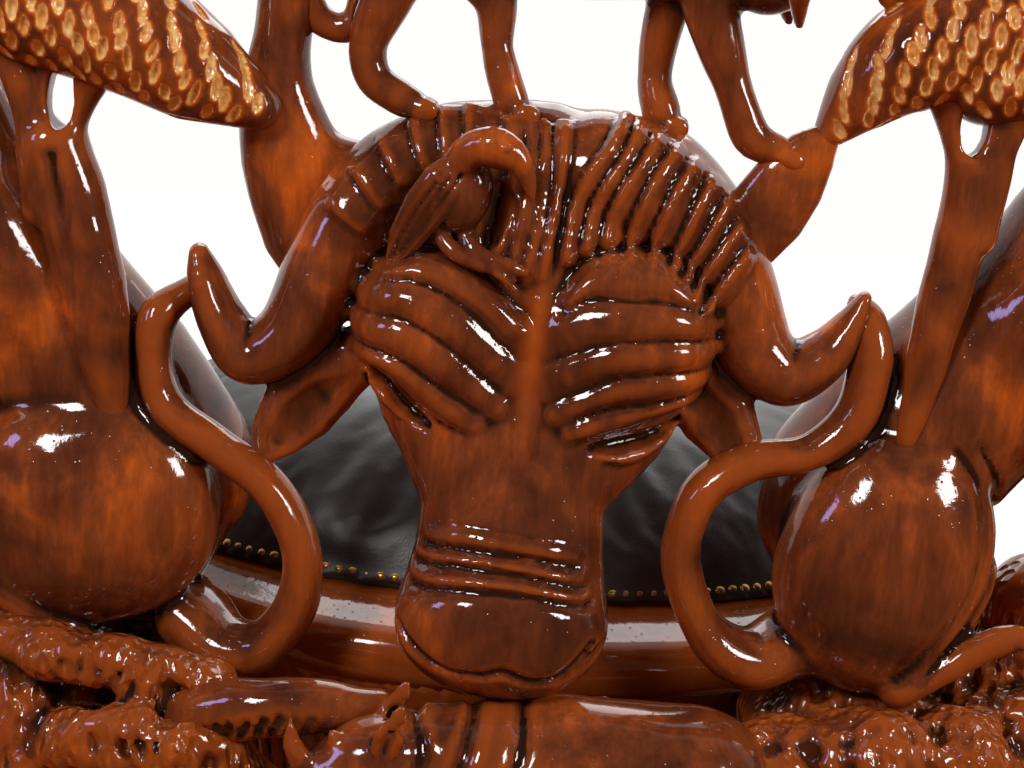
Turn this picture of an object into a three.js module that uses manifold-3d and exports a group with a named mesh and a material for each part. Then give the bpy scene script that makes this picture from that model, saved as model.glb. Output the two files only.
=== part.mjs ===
// A carved ceremonial throne with a nailed leather seat pad.
// One log is carved into a rocky base, a seat slab and an openwork back of animals and trees.
// Millimetres, +Z up, +Y towards the front of the seat, origin under the middle of the base.
// The sitter faces +Y, and the richest carving is on the back, which faces -Y.
import * as THREE from "three";
import { mergeVertices } from "three/addons/utils/BufferGeometryUtils.js";
import Module from "manifold-3d";

const wasm = await Module();
wasm.setup();

// ---- driving dimensions ----
const BASE_HALF_X = 372; // the plinth, half its width
const BASE_HALF_Y = 340; // the plinth, half its depth
const PLINTH_TOP = 46;
const ROOTS = 9; // buttress roots round the stump
const SEAT_Y = 55; // the seat's centre, forward of the base's
const SLAB_HALF_X = 362;
const SLAB_HALF_Y = 305;
const SLAB_BOTTOM = 384;
const SEAT_Z = 430; // top of the wooden seat
const PAD_HALF_X = 333;
const PAD_HALF_Y = 252;
const PAD_CROWN = 104; // how far the pad stands above the wood at its middle
const GAP = 0.4; // between the pad and the wood
const LEFT_DROP = 14; // the figures on the left stand this much lower

// ---- shape helpers ----
const Y_AXIS = new THREE.Vector3(0, 1, 0);
const Z_AXIS = new THREE.Vector3(0, 0, 1);

// A closed geometry as a solid that can be joined or cut.
function solid(geometry) {
  const bare = geometry.clone();
  bare.deleteAttribute("normal");
  bare.deleteAttribute("uv");
  const merged = mergeVertices(bare, 1e-3);
  return new wasm.Manifold(
    new wasm.Mesh({
      numProp: 3,
      vertProperties: new Float32Array(merged.attributes.position.array),
      triVerts: new Uint32Array(merged.index.array),
    }),
  );
}

// Moves every vertex of a geometry by a function of its place.
function reshape(geometry, move) {
  const place = geometry.attributes.position;
  const v = new THREE.Vector3();
  for (let i = 0; i < place.count; i++) {
    move(v.fromBufferAttribute(place, i));
    place.setXYZ(i, v.x, v.y, v.z);
  }
  return geometry;
}

// A tapering limb along a smooth curve. A station is [x, y, z, radius, radius in depth].
// The depth radius is measured along the reference axis, and is depth times the radius if left out.
function limb(stations, { sides = 6, spans = 1, depth = 1, reference = Y_AXIS } = {}) {
  const last = stations.length - 1;
  const line = new THREE.CatmullRomCurve3(
    stations.map(([x, y, z]) => new THREE.Vector3(x, y, z)),
  );
  const girth = (t) => {
    const at = Math.min(t * last, last - 1e-9);
    const i = Math.floor(at);
    const [a, b] = [stations[i], stations[i + 1]];
    const mix = (p, q) => p + (q - p) * (at - i);
    return [mix(a[3], b[3]), mix(a[4] ?? a[3] * depth, b[4] ?? b[3] * depth)];
  };
  const tube = new THREE.CylinderGeometry(1, 1, 1, sides, last * spans);
  return solid(
    reshape(tube, (v) => {
      const t = THREE.MathUtils.clamp(0.5 - v.y, 0, 1);
      const centre = line.getPoint(t);
      const along = line.getTangent(t);
      const deep = reference.clone().addScaledVector(along, -reference.dot(along)).normalize();
      const wide = deep.clone().cross(along);
      const [r, rDeep] = girth(t);
      const [a, b] = [v.x * r, v.z * rDeep];
      v.copy(centre).addScaledVector(wide, a).addScaledVector(deep, b);
    }),
  );
}

// An egg-shaped mass, leaning by an angle in the plane of the back.
function lump([x, y, z], [rx, ry, rz], lean = 0, sides = 8, rings = 5) {
  const ball = new THREE.SphereGeometry(1, sides, rings);
  ball.rotateX(Math.PI / 2);
  ball.scale(rx, ry, rz);
  ball.rotateY(THREE.MathUtils.degToRad(lean));
  ball.translate(x, y, z);
  return solid(ball);
}

// An oval drum from a profile of [share of the half width, height].
// Lobes swell its side, most at the bottom and not at all at the top.
function drum(profile, [halfX, halfY], centreY, sides, lobes = 0, lobeDepth = 0) {
  const top = profile[profile.length - 1][1];
  const points = profile.map(([share, z]) => new THREE.Vector2(share, z));
  const turned = new THREE.LatheGeometry(points, sides);
  turned.rotateX(Math.PI / 2);
  turned.scale(1, -1, 1);
  reshape(turned, (v) => {
    const around = Math.atan2(v.y, v.x);
    const swell = 1 + lobeDepth * (1 - v.z / top) * Math.cos(lobes * around);
    v.set(v.x * halfX * swell, v.y * halfY * swell + centreY, v.z);
  });
  const index = turned.index.array;
  for (let i = 0; i < index.length; i += 3) {
    [index[i + 1], index[i + 2]] = [index[i + 2], index[i + 1]];
  }
  return solid(turned);
}

const join = (...solids) => wasm.Manifold.union(solids.flat());

// The same stations on the left or right side, raised by lift.
const onSide = (side, lift, stations) =>
  stations.map(([x, y, z, ...radii]) => [side * x, y, z + lift, ...radii]);

// ---- base ----
function base() {
  const plinth = drum(
    [[0, 0], [1, 0], [0.97, PLINTH_TOP], [0, PLINTH_TOP]],
    [BASE_HALF_X, BASE_HALF_Y], 0, 28,
  );
  const stump = drum(
    [[0, 20], [1, 30], [0.84, 130], [0.8, 240], [0.88, 340], [0.94, 395], [0, 400]],
    [300, 275], 15, 36, ROOTS, 0.13,
  );
  const slab = drum(
    [[0, SLAB_BOTTOM], [0.95, SLAB_BOTTOM], [1, SLAB_BOTTOM + 16], [0.99, SEAT_Z - 10],
      [0.95, SEAT_Z], [0, SEAT_Z]],
    [SLAB_HALF_X, SLAB_HALF_Y], SEAT_Y, 32,
  );
  return join(plinth, stump, slab, ledges(1), ledges(-1), rhino(), branch());
}

// The rocks that carry one leopard, from the plinth up to its paws.
function ledges(side) {
  const lift = side < 0 ? -LEFT_DROP : 0;
  const rock = ([x, y, z], radii, lean = 0) =>
    lump([side * x, y, z + lift], radii, side * lean, 7, 5);
  return join(
    rock([252, -222, 376], [92, 70, 50], 4),
    rock([342, -208, 384], [84, 76, 62], -8),
    rock([318, -190, 240], [72, 84, 112]),
    rock([228, -246, 150], [100, 84, 136]),
  );
}

// The rhinoceros that walks along the back of the base, its head to the left.
function rhino() {
  const torso = limb([[-46, -318, 372, 20, 24], [-18, -316, 372, 40, 40], [50, -310, 368, 52, 50],
    [120, -302, 362, 52, 50], [166, -292, 350, 34, 36], [184, -286, 344, 12, 14]], { sides: 8 });
  const head = limb([[-30, -322, 382, 34, 34], [-66, -332, 380, 30, 28], [-98, -340, 366, 20, 19],
    [-118, -344, 360, 12, 12]]);
  const horn = limb([[-104, -342, 376, 9], [-114, -344, 398, 6], [-112, -344, 414, 2]], { sides: 5 });
  const ear = limb([[-58, -350, 398, 8], [-52, -356, 420, 8], [-46, -354, 434, 2]],
    { sides: 5, depth: 0.5 });
  const legs = [[-8, -330], [128, -312], [22, -290], [152, -280]].map(([x, y]) =>
    limb([[x, y, 350, 26], [x - 2, y - 4, 285, 19], [x - 6, y - 6, 238, 21]]));
  const ledge = lump([30, -262, 150], [190, 86, 104]);
  return join(torso, head, horn, ear, legs, ledge);
}

// A fallen branch between the left rocks and the rhinoceros.
function branch() {
  return limb([[-215, -268, 366, 16], [-180, -296, 386, 19], [-140, -308, 400, 19],
    [-100, -308, 404, 16], [-56, -302, 402, 8]]);
}

// ---- the buffalo's head, which hangs over the seat's back edge ----
const HEAD_X = 10; // the head hangs a little off centre

function buffalo() {
  const skull = limb([[HEAD_X, -212, 760, 24, 20], [HEAD_X, -216, 736, 66, 36],
    [HEAD_X, -226, 690, 100, 48], [HEAD_X, -232, 645, 107, 52], [HEAD_X, -242, 607, 96, 50],
    [HEAD_X - 1, -253, 572, 74, 45], [HEAD_X - 3, -266, 535, 54, 40],
    [HEAD_X - 4, -278, 500, 57, 40], [HEAD_X - 5, -288, 455, 67, 48],
    [HEAD_X - 5, -290, 425, 58, 42], [HEAD_X - 4, -288, 409, 34, 26]], { sides: 10 });
  return join(skull, brows(1), brows(-1), leftHorn(), rightHorn(), ear(1), ear(-1), fringe());
}

// The folds over one eye, each lower than the one before.
function brows(side) {
  const folds = [0, 1, 2].map((i) => {
    const drop = i * 27;
    const inner = [HEAD_X + side * (16 + i * 6), -270 - i * 4, 676 - drop * 0.9, 5];
    const middle = [HEAD_X + side * (54 + i * 3), -274 - i * 3, 692 - drop * 1.08, 11];
    const outer = [HEAD_X + side * (94 - i * 3), -250 - i * 3, 678 - drop * 1.02, 4];
    const ends = side < 0 ? 10 : 0; // the left folds run down towards the nose
    inner[2] -= ends * 1.6;
    outer[2] += ends * 0.4;
    return limb([inner, middle, outer], { sides: 5 });
  });
  return join(folds);
}

function leftHorn() {
  return limb([[-4, -212, 742, 22], [-45, -216, 731, 28], [-77, -222, 714, 30],
    [-99, -230, 690, 29], [-117, -238, 656, 26], [-136, -242, 617, 23], [-160, -242, 603, 20],
    [-178, -240, 622, 17], [-187, -238, 646, 13], [-191, -237, 661, 7]], { depth: 1.15 });
}

function rightHorn() {
  return limb([[26, -212, 736, 24], [66, -216, 732, 38], [102, -222, 708, 37],
    [127, -230, 674, 28], [144, -236, 634, 24], [164, -240, 615, 21], [187, -240, 629, 17],
    [199, -238, 652, 11], [204, -237, 668, 4]], { depth: 1.15 });
}

function ear(side) {
  const [x, drop] = side > 0 ? [114, 0] : [116, 16];
  return limb(onSide(side, -drop, [[x - 42, -226, 630, 14, 14], [x - 18, -232, 616, 16, 14],
    [x, -236, 603, 18, 13], [x + 14, -241, 588, 21, 12], [x + 27, -248, 572, 15, 10],
    [x + 35, -255, 556, 4, 5]]));
}

// Strands of hair between the horns.
function fringe() {
  const strands = [-1, 0, 1].map((i) =>
    limb([[HEAD_X + i * 17, -238, 752, 8], [HEAD_X + i * 13, -262, 716, 9],
      [HEAD_X + i * 5, -274, 676, 5]], { sides: 5 }));
  return join(strands);
}

// ---- the leopards at both ends, seated back to back with the seat between them ----
function leopard(side) {
  const lift = side < 0 ? -LEFT_DROP : 0;
  const at = (stations) => onSide(side, lift, stations);
  const mass = ([x, y, z], radii, lean = 0, sides = 8, rings = 5) =>
    lump([side * x, y, z + lift], radii, side * lean, sides, rings);
  const torso = limb(at([[176, -196, 500, 26, 30], [210, -198, 522, 66, 66],
    [262, -204, 578, 68, 62], [310, -210, 642, 62, 56], [338, -214, 700, 50, 48],
    [352, -216, 748, 36, 36], [366, -218, 782, 28, 28]]), { sides: 8 });
  const rump = mass([214, -209, 488], [66, 53, 66]);
  const haunch = mass([240, -252, 500], [64, 44, 84], 14, 10, 6);
  const farHaunch = mass([240, -167, 496], [58, 28, 78], 14, 7, 5);
  const head = mass([384, -218, 792], [40, 34, 32]);
  const muzzle = mass([416, -218, 780], [24, 21, 17], 0, 6, 4);
  const ears = [-1, 1].map((s) => mass([370, -218 + s * 24, 820], [10, 8, 13], 0, 5, 3));
  const forelegs = [-252, -176].map((y) =>
    limb(at([[330, y, 680, 30], [352, y - 2, 580, 21], [364, y - 2, 480, 17],
      [378, y - 2, 440, 17], [402, y - 2, 434, 9]])));
  const hindFeet = [-268, -150].map((y) =>
    limb(at([[226, y + 6, 436, 18], [268, y, 438, 19], [318, y, 458, 9]])));
  const tail = side > 0
    ? [[190, -240, 440, 26], [157, -258, 438, 21], [126, -264, 462, 16.5], [110, -266, 500, 15.5],
      [119, -264, 539, 15], [147, -262, 559, 14], [185, -260, 570, 14], [211, -258, 594, 16],
      [215, -256, 629, 17], [208, -250, 652, 13], [202, -246, 666, 6]]
    : [[-190, -236, 428, 25], [-168, -254, 416, 20], [-141, -262, 418, 17.5], [-122, -264, 444, 15.5],
      [-121, -264, 480, 15], [-141, -262, 516, 15], [-176, -260, 537, 15], [-207, -258, 561, 15],
      [-219, -254, 590, 15], [-216, -244, 620, 15.5], [-194, -228, 640, 11]];
  return join(torso, rump, haunch, farHaunch, head, muzzle, ears, forelegs, hindFeet,
    limb(tail, { depth: 1.15 }));
}

// ---- the trees that stand on the leopards' haunches and hold the foliage ----
function tree(side) {
  const right = side > 0;
  const lift = right ? 0 : -26;
  const lean = right ? 0 : 10; // the left trunk leans out further
  const r = right ? 20 : 23;
  const at = (stations) => onSide(side, lift, stations);
  const trunk = limb(at([[242, -262, 580, 8], [245, -256, 612, r * 0.95], [249 + lean * 0.4, -252, 662, r],
    [256 + lean, -248, 712, r], [260 + lean * 2, -246, 750, r * 0.8]]));
  const [x, z] = [260 + lean * 2, 742];
  const forks = [[-16, 52, 10], [20, 56, 11]].map(([dx, dz, radius]) =>
    limb(at([[x, -246, z - 14, radius + 4], [x + dx * 0.6, -244, z + dz * 0.45, radius],
      [x + dx, -240, z + dz, radius]]), { sides: 5 }));
  return join(trunk, forks);
}

// A flat crown of foliage, drawn out to a point towards the middle.
function foliage(side) {
  const stations = side > 0
    ? [[166, -236, 752, 8], [190, -236, 784, 22], [216, -236, 808, 33], [256, -236, 826, 39],
      [302, -236, 836, 40], [344, -234, 838, 24], [360, -232, 838, 8]]
    : [[-160, -236, 750, 14], [-202, -236, 770, 32], [-244, -236, 792, 41], [-292, -236, 804, 42],
      [-340, -234, 812, 26], [-358, -232, 816, 8]];
  return limb(stations, { sides: 8, depth: 1.25 });
}

// ---- the figures above the buffalo ----
function lion() {
  const body = limb([[-116, -222, 872, 10], [-96, -222, 868, 30], [-50, -222, 862, 35], [10, -222, 860, 34],
    [64, -222, 866, 38], [112, -222, 876, 40], [138, -222, 890, 24]], { sides: 8 });
  const mane = lump([134, -222, 886], [46, 42, 64], 10, 8, 5);
  const head = lump([166, -222, 912], [34, 28, 30], 0, 7, 5);
  const muzzle = lump([194, -222, 900], [20, 17, 15], 0, 6, 4);
  const legs = [
    [[-80, -228, 856, 25], [-88, -228, 822, 16], [-98, -230, 787, 13], [-93, -232, 763, 12],
      [-66, -234, 755, 9]],
    [[-42, -216, 850, 24], [-27, -218, 822, 13], [-24, -222, 793, 10], [-9, -228, 752, 12]],
    [[82, -212, 852, 20], [74, -212, 823, 13], [70, -214, 780, 10], [78, -220, 752, 12]],
    [[98, -228, 868, 25], [96, -228, 831, 18], [116, -234, 780, 13], [132, -238, 744, 12],
      [152, -240, 740, 9]],
  ].map((stations) => limb(stations));
  const tail = limb([[-110, -222, 876, 10], [-118, -218, 850, 9], [-104, -216, 818, 9],
    [-112, -214, 797, 9], [-132, -212, 803, 9], [-142, -212, 824, 8]], { sides: 5 });
  return join(body, mane, head, muzzle, legs, tail);
}

function giraffe() {
  const neck = limb([[-112, -212, 632, 24, 20], [-128, -212, 676, 36, 26], [-144, -212, 720, 31, 24],
    [-154, -212, 762, 21, 20], [-150, -212, 811, 17], [-143, -212, 930, 15],
    [-136, -212, 1040, 15]]);
  const shoulder = lump([-110, -212, 690], [40, 24, 46], 30);
  const head = limb([[-124, -212, 1046, 14], [-146, -212, 1046, 20], [-176, -212, 1030, 15],
    [-202, -212, 1016, 13], [-214, -212, 1012, 6]]);
  const hornlets = [-1, 1].map((s) =>
    limb([[-140, -212 + s * 8, 1056, 6], [-134, -212 + s * 10, 1084, 6]], { sides: 5 }));
  const ears = [-1, 1].map((s) =>
    limb([[-128, -212 + s * 12, 1050, 7], [-112, -212 + s * 32, 1062, 3]],
      { sides: 5, reference: Z_AXIS }));
  return join(neck, shoulder, head, hornlets, ears);
}

// The bird perched on the right foliage.
function eagle() {
  const body = limb([[206, -236, 838, 10], [220, -234, 868, 22], [240, -232, 912, 31], [250, -230, 954, 24],
    [254, -230, 988, 17]], { sides: 8 });
  const wings = [-1, 1].map((s) =>
    limb([[206, -232 + s * 14, 842, 5], [224, -232 + s * 24, 884, 20, 8], [244, -232 + s * 26, 936, 20, 9],
      [252, -230 + s * 18, 960, 8]]));
  const head = lump([260, -230, 1000], [22, 18, 19], 0, 7, 5);
  const beak = limb([[274, -230, 1002, 9], [290, -230, 996, 6], [292, -230, 982, 2]], { sides: 5 });
  return join(body, wings, head, beak);
}

// The small bird that leans over the buffalo's left brow, and the fanned tail on its right.
function smallBirds() {
  const body = lump([-30, -266, 700], [15, 14, 24], 20, 7, 5);
  const wing = limb([[-22, -274, 716, 9, 7], [-42, -276, 696, 12, 7], [-62, -272, 668, 6, 5],
    [-74, -266, 650, 2]]);
  const neck = limb([[-28, -266, 716, 10], [-18, -270, 730, 11], [-2, -274, 727, 9], [8, -272, 712, 4]]);
  const leg = limb([[-40, -264, 690, 6], [-47, -267, 668, 6], [-26, -272, 655, 6],
    [-8, -272, 652, 5]], { sides: 5 });
  const fan = limb([[170, -236, 756, 5, 5], [158, -238, 742, 20, 12], [144, -236, 712, 25, 14],
    [128, -232, 684, 24, 14], [118, -228, 664, 8, 8]]);
  return join(body, wing, neck, leg, fan);
}

// The bough that arches over the figures, with a crown of foliage at its top.
function arch() {
  const half = [[292, -234, 846, 24], [316, -230, 920, 23], [300, -224, 1010, 24], [230, -219, 1098, 26],
    [120, -216, 1158, 28]];
  const left = half.map(([x, y, z, r]) => [-x, y, z - (z < 850 ? 30 : 0), r]);
  const bough = limb([...left, [0, -215, 1178, 30], ...half.slice().reverse()]);
  const crown = limb([[-168, -215, 1162, 10], [-120, -215, 1184, 34], [-50, -215, 1200, 46],
    [30, -215, 1204, 47], [100, -215, 1190, 38], [162, -215, 1164, 12]],
  { sides: 8, depth: 1.15 });
  return join(bough, crown);
}

// ---- the seat pad ----
function pad() {
  const skirt = 12;
  const steps = 6;
  const profile = [[0, SEAT_Z + GAP], [1, SEAT_Z + GAP], [1, SEAT_Z + skirt]];
  for (let i = 1; i <= steps; i++) {
    const angle = (i / steps) * (Math.PI / 2);
    profile.push([Math.cos(angle) ** 0.52, SEAT_Z + skirt + (PAD_CROWN - skirt) * Math.sin(angle)]);
  }
  profile[profile.length - 1][0] = 0;
  return drum(profile, [PAD_HALF_X, PAD_HALF_Y], SEAT_Y, 28);
}

// ---- assembly ----
function named(name, shape, material) {
  const made = shape.getMesh();
  const geometry = new THREE.BufferGeometry();
  geometry.setAttribute("position", new THREE.BufferAttribute(made.vertProperties, 3));
  geometry.setIndex(new THREE.BufferAttribute(made.triVerts, 1));
  geometry.computeVertexNormals();
  const mesh = new THREE.Mesh(geometry, material);
  mesh.name = name;
  return mesh;
}

const varnishedWood = new THREE.MeshStandardMaterial({ color: 0x5e2a12, roughness: 0.22, metalness: 0 });
const blackLeather = new THREE.MeshStandardMaterial({ color: 0x17161a, roughness: 0.45, metalness: 0 });

const carving = join(
  base(), buffalo(), leopard(1), leopard(-1), tree(1), tree(-1), foliage(1), foliage(-1),
  lion(), giraffe(), eagle(), smallBirds(), arch(),
);

const throne = new THREE.Group();
throne.add(named("carved_throne", carving, varnishedWood), named("seat_pad", pad(), blackLeather));

export default throne;
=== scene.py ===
# %% [markdown]
# # A carved throne with a nailed leather pad
#
# This lesson dresses a ceremonial throne. The real one is a single log, carved into a stump,
# a seat and an openwork back of animals and trees, stained dark and varnished to a high gloss.
# A black leather pad is nailed to the seat with brass nails.
#
# The construction comes in as a frame: a plain faceted solid of the carving and one of the pad.
# Nothing here moves or resizes it. Every shape below is made around the same centre lines,
# so the finished throne fills the space that the frame holds.
#
# Measures are in millimetres, as a carver would give them, and become metres in the meshes.

# %% Load the frame and put its placement into the meshes
import math
import time

import bpy
import mathutils
import numpy as np
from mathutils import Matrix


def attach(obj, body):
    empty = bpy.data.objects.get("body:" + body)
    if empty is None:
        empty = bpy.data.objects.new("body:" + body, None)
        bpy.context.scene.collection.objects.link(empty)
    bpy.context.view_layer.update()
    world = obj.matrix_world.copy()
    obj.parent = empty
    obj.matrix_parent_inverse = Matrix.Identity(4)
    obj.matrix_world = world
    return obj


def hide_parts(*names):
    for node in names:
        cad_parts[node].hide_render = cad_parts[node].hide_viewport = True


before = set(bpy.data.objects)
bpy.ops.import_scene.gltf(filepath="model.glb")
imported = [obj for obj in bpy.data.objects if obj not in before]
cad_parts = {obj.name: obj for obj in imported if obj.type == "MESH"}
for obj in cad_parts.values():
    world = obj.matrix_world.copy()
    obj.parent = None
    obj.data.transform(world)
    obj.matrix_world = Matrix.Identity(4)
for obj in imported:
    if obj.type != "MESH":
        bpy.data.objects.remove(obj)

MM = 0.001
STARTED = time.time()
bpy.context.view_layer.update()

# %% [markdown]
# ## Virtual wood
#
# A carver blends one form into the next and then cuts into it. Joining many round meshes with
# booleans leaves hard seams and slivers, and sculpting by hand can't be repeated by a script.
# A distance field does what the chisel does. A block of space is filled with numbers, each the
# distance to the wood's surface, negative inside. Adding a form takes the smaller number,
# with a soft rule where the two are close, which leaves a fillet. Cutting takes the larger one.
# At the end a skin is drawn where the number is zero.
#
# The block only looks at the cells around each form, so even fine carving takes seconds.

# %% A block of virtual wood
class Block:
    """A grid of distances to the surface, in millimetres, and of the gouge's marks."""

    def __init__(self, low, high, step):
        self.low = np.array(low, np.float32)
        self.step = step
        self.size = np.ceil((np.array(high) - low) / step).astype(int) + 1
        self.field = np.full(self.size, 60.0, np.float32)
        self.mark = np.zeros(self.size, np.float32)
        self.axes = [self.low[a] + step * np.arange(self.size[a], dtype=np.float32) for a in range(3)]

    def window(self, low, high):
        """The slices of the grid between two corners, and the open coordinates there."""
        first = np.floor((np.array(low) - self.low) / self.step).astype(int)
        last = np.ceil((np.array(high) - self.low) / self.step).astype(int) + 1
        first, last = np.clip(first, 0, self.size), np.clip(last, 0, self.size)
        cut = tuple(slice(a, max(a, b)) for a, b in zip(first, last))
        x, y, z = (self.axes[a][cut[a]] for a in range(3))
        return cut, x[:, None, None], y[None, :, None], z[None, None, :]

    def add(self, cut, distance, soft=3.0):
        here = self.field[cut]
        mix = np.clip(0.5 + 0.5 * (here - distance) / soft, 0, 1)
        self.field[cut] = here * (1 - mix) + distance * mix - soft * mix * (1 - mix)

    def cut_away(self, cut, distance, soft=2.0):
        here, tool = self.field[cut], -distance
        mix = np.clip(0.5 + 0.5 * (tool - here) / soft, 0, 1)
        self.field[cut] = here * (1 - mix) + tool * mix + soft * mix * (1 - mix)


# %% [markdown]
# ## Limbs and lumps
#
# Nearly everything on the throne is a limb: a leg, tail, horn, branch or body that tapers along
# a curve and is oval across. A limb is a list of stations, each a place and a radius, and
# maybe a second radius for its depth. A smooth curve runs through them, and the distance to
# it is found one short span at a time. A limb can also carry a relief: a function of how far
# along and round the limb a point lies, which raises or lowers the surface there. Ribs on a
# horn or feathers on a wing are made so. A lump is an egg shape for heads and haunches.

# %% Curves through stations
def through(stations, spacing):
    """A Catmull-Rom curve: rows of x, y, z, radius, depth radius and the place along, in stations."""
    rows = np.array([[*s[:4], s[4] if len(s) > 4 else s[3]] for s in stations], float)
    ends = np.vstack([2 * rows[0] - rows[1], rows, 2 * rows[-1] - rows[-2]])
    ends[[0, -1], 3:] = rows[[0, -1], 3:]
    out = []
    for i in range(len(rows) - 1):
        a, b, c, d = ends[i:i + 4]
        count = max(2, int(np.linalg.norm(c[:3] - b[:3]) / spacing) + 1)
        for t in np.arange(count) / count:
            place = 0.5 * (2 * b + (c - a) * t + (2 * a - 5 * b + 4 * c - d) * t**2
                           + (3 * b - a - 3 * c + d) * t**3)
            radii = b[3:] + (c[3:] - b[3:]) * t
            out.append([*place[:3], *radii, i + t])
    out.append([*rows[-1], len(rows) - 1])
    return np.array(out, np.float32)


def limb_field(block, stations, depth, reference, margin):
    """The distance to a limb near it, with how far along and round it each point lies."""
    stations = [(*s[:3], s[3], s[4] if len(s) > 4 else s[3] * depth) for s in stations]
    path = through(stations, max(4.0, 0.3 * min(s[3] for s in stations)))
    reach = max(max(s[3], s[4]) for s in stations) + margin
    cut, *_ = block.window(path[:, :3].min(0) - reach, path[:, :3].max(0) + reach)
    shape = [c.stop - c.start for c in cut]
    distance = np.full(shape, 60.0, np.float32)
    along = np.zeros(shape, np.float32)
    around = np.zeros(shape, np.float32)
    for a, b in zip(path[:-1], path[1:]):
        axis = b[:3] - a[:3]
        length = float(np.linalg.norm(axis))
        if length < 1e-4:
            continue
        axis = axis / length
        deep = reference - axis * float(reference @ axis)
        deep = deep / np.linalg.norm(deep)
        wide = np.cross(deep, axis)
        near = max(a[3:5].max(), b[3:5].max()) + margin
        part, x, y, z = block.window(np.minimum(a[:3], b[:3]) - near, np.maximum(a[:3], b[:3]) + near)
        local = tuple(slice(p.start - c.start, p.stop - c.start) for p, c in zip(part, cut))
        if min(p.stop - p.start for p in part) < 1:
            continue
        x, y, z = x - a[0], y - a[1], z - a[2]
        run = x * axis[0] + y * axis[1] + z * axis[2]
        t = np.clip(run / length, 0, 1)
        over = run - t * length
        across = x * wide[0] + y * wide[1] + z * wide[2]
        inward = x * deep[0] + y * deep[1] + z * deep[2]
        r = a[3] + (b[3] - a[3]) * t
        q = a[4] + (b[4] - a[4]) * t
        k0 = np.sqrt((across / r) ** 2 + (inward / q) ** 2 + (over / np.minimum(r, q)) ** 2) + 1e-4
        k1 = np.sqrt((across / r**2) ** 2 + (inward / q**2) ** 2 + (over / np.minimum(r, q) ** 2) ** 2)
        d = k0 * (k0 - 1) / np.maximum(k1, 1e-4 / np.minimum(r, q))
        closer = d < distance[local]
        distance[local] = np.where(closer, d, distance[local])
        along[local] = np.where(closer, a[5] + (b[5] - a[5]) * t, along[local])
        around[local] = np.where(closer, np.arctan2(inward, across), around[local])
    return cut, distance, along, around


Y_AXIS = np.array([0, 1, 0], np.float32)
Z_AXIS = np.array([0, 0, 1], np.float32)


def limb(block, stations, soft=3.0, depth=1.0, relief=None, reference=Y_AXIS, carve=False):
    """Adds a limb to the block, or carves it out."""
    cut, distance, along, around = limb_field(block, stations, depth, reference, soft + 3 * block.step + 3)
    if relief is not None:
        distance = distance - relief(along, around)
    (block.cut_away if carve else block.add)(cut, distance, soft)


def groove(block, stations, soft=3.0):
    """Carves a limb out of the block."""
    limb(block, stations, soft, carve=True)


def lump(block, centre, radii, lean=0.0, soft=5.0, carve=False):
    """Adds an egg shape, leaning by an angle in the plane of the back, or carves it out."""
    reach = max(radii) + soft + 3 * block.step
    cut, x, y, z = block.window(np.array(centre) - reach, np.array(centre) + reach)
    x, y, z = x - centre[0], y - centre[1], z - centre[2]
    c, s = math.cos(math.radians(lean)), math.sin(math.radians(lean))
    u, w = x * c - z * s, x * s + z * c
    k0 = np.sqrt((u / radii[0]) ** 2 + (y / radii[1]) ** 2 + (w / radii[2]) ** 2) + 1e-4
    k1 = np.sqrt((u / radii[0] ** 2) ** 2 + (y / radii[1] ** 2) ** 2 + (w / radii[2] ** 2) ** 2)
    distance = k0 * (k0 - 1) / np.maximum(k1, 1e-5)
    (block.cut_away if carve else block.add)(cut, distance, soft)


def on_side(side, lift, stations):
    """The same stations on the left, -1, or the right, 1, raised by lift."""
    return [(side * s[0], s[1], s[2] + lift, *s[3:]) for s in stations]


# %% [markdown]
# ## From wood to mesh
#
# The skin is drawn with surface nets. Each cell that the surface crosses gets one point, at
# the mean of the crossings on its edges, and each crossed edge gets a four-sided face between
# the cells around it. Marching cubes would also work, but it makes many thin triangles that
# show as scratches under varnish. A few rounds of smoothing that keep the volume take out
# the last trace of the grid, as sandpaper does.
#
# Three values are kept on every point. One says how far it lies in a hollow or on a ridge, found
# by comparing the skin with a smoother copy. By it the wood goes near black in hollows, partly
# stain and partly painted shade, and orange on ridges, partly worn stain and partly painted
# highlight. The second marks bare gouge cuts, where the varnish shows paler wood, and also a
# painted highlight down the buffalo's forehead. The third says where a surface is covered with
# small tool marks, too many to carve, which the finish draws as a bump.

# %% Skin the block
CORNERS = np.array([[i & 1, i >> 1 & 1, i >> 2 & 1] for i in range(8)])
EDGES = [(a, b) for a in range(8) for b in range(a + 1, 8) if bin(a ^ b).count("1") == 1]


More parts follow.
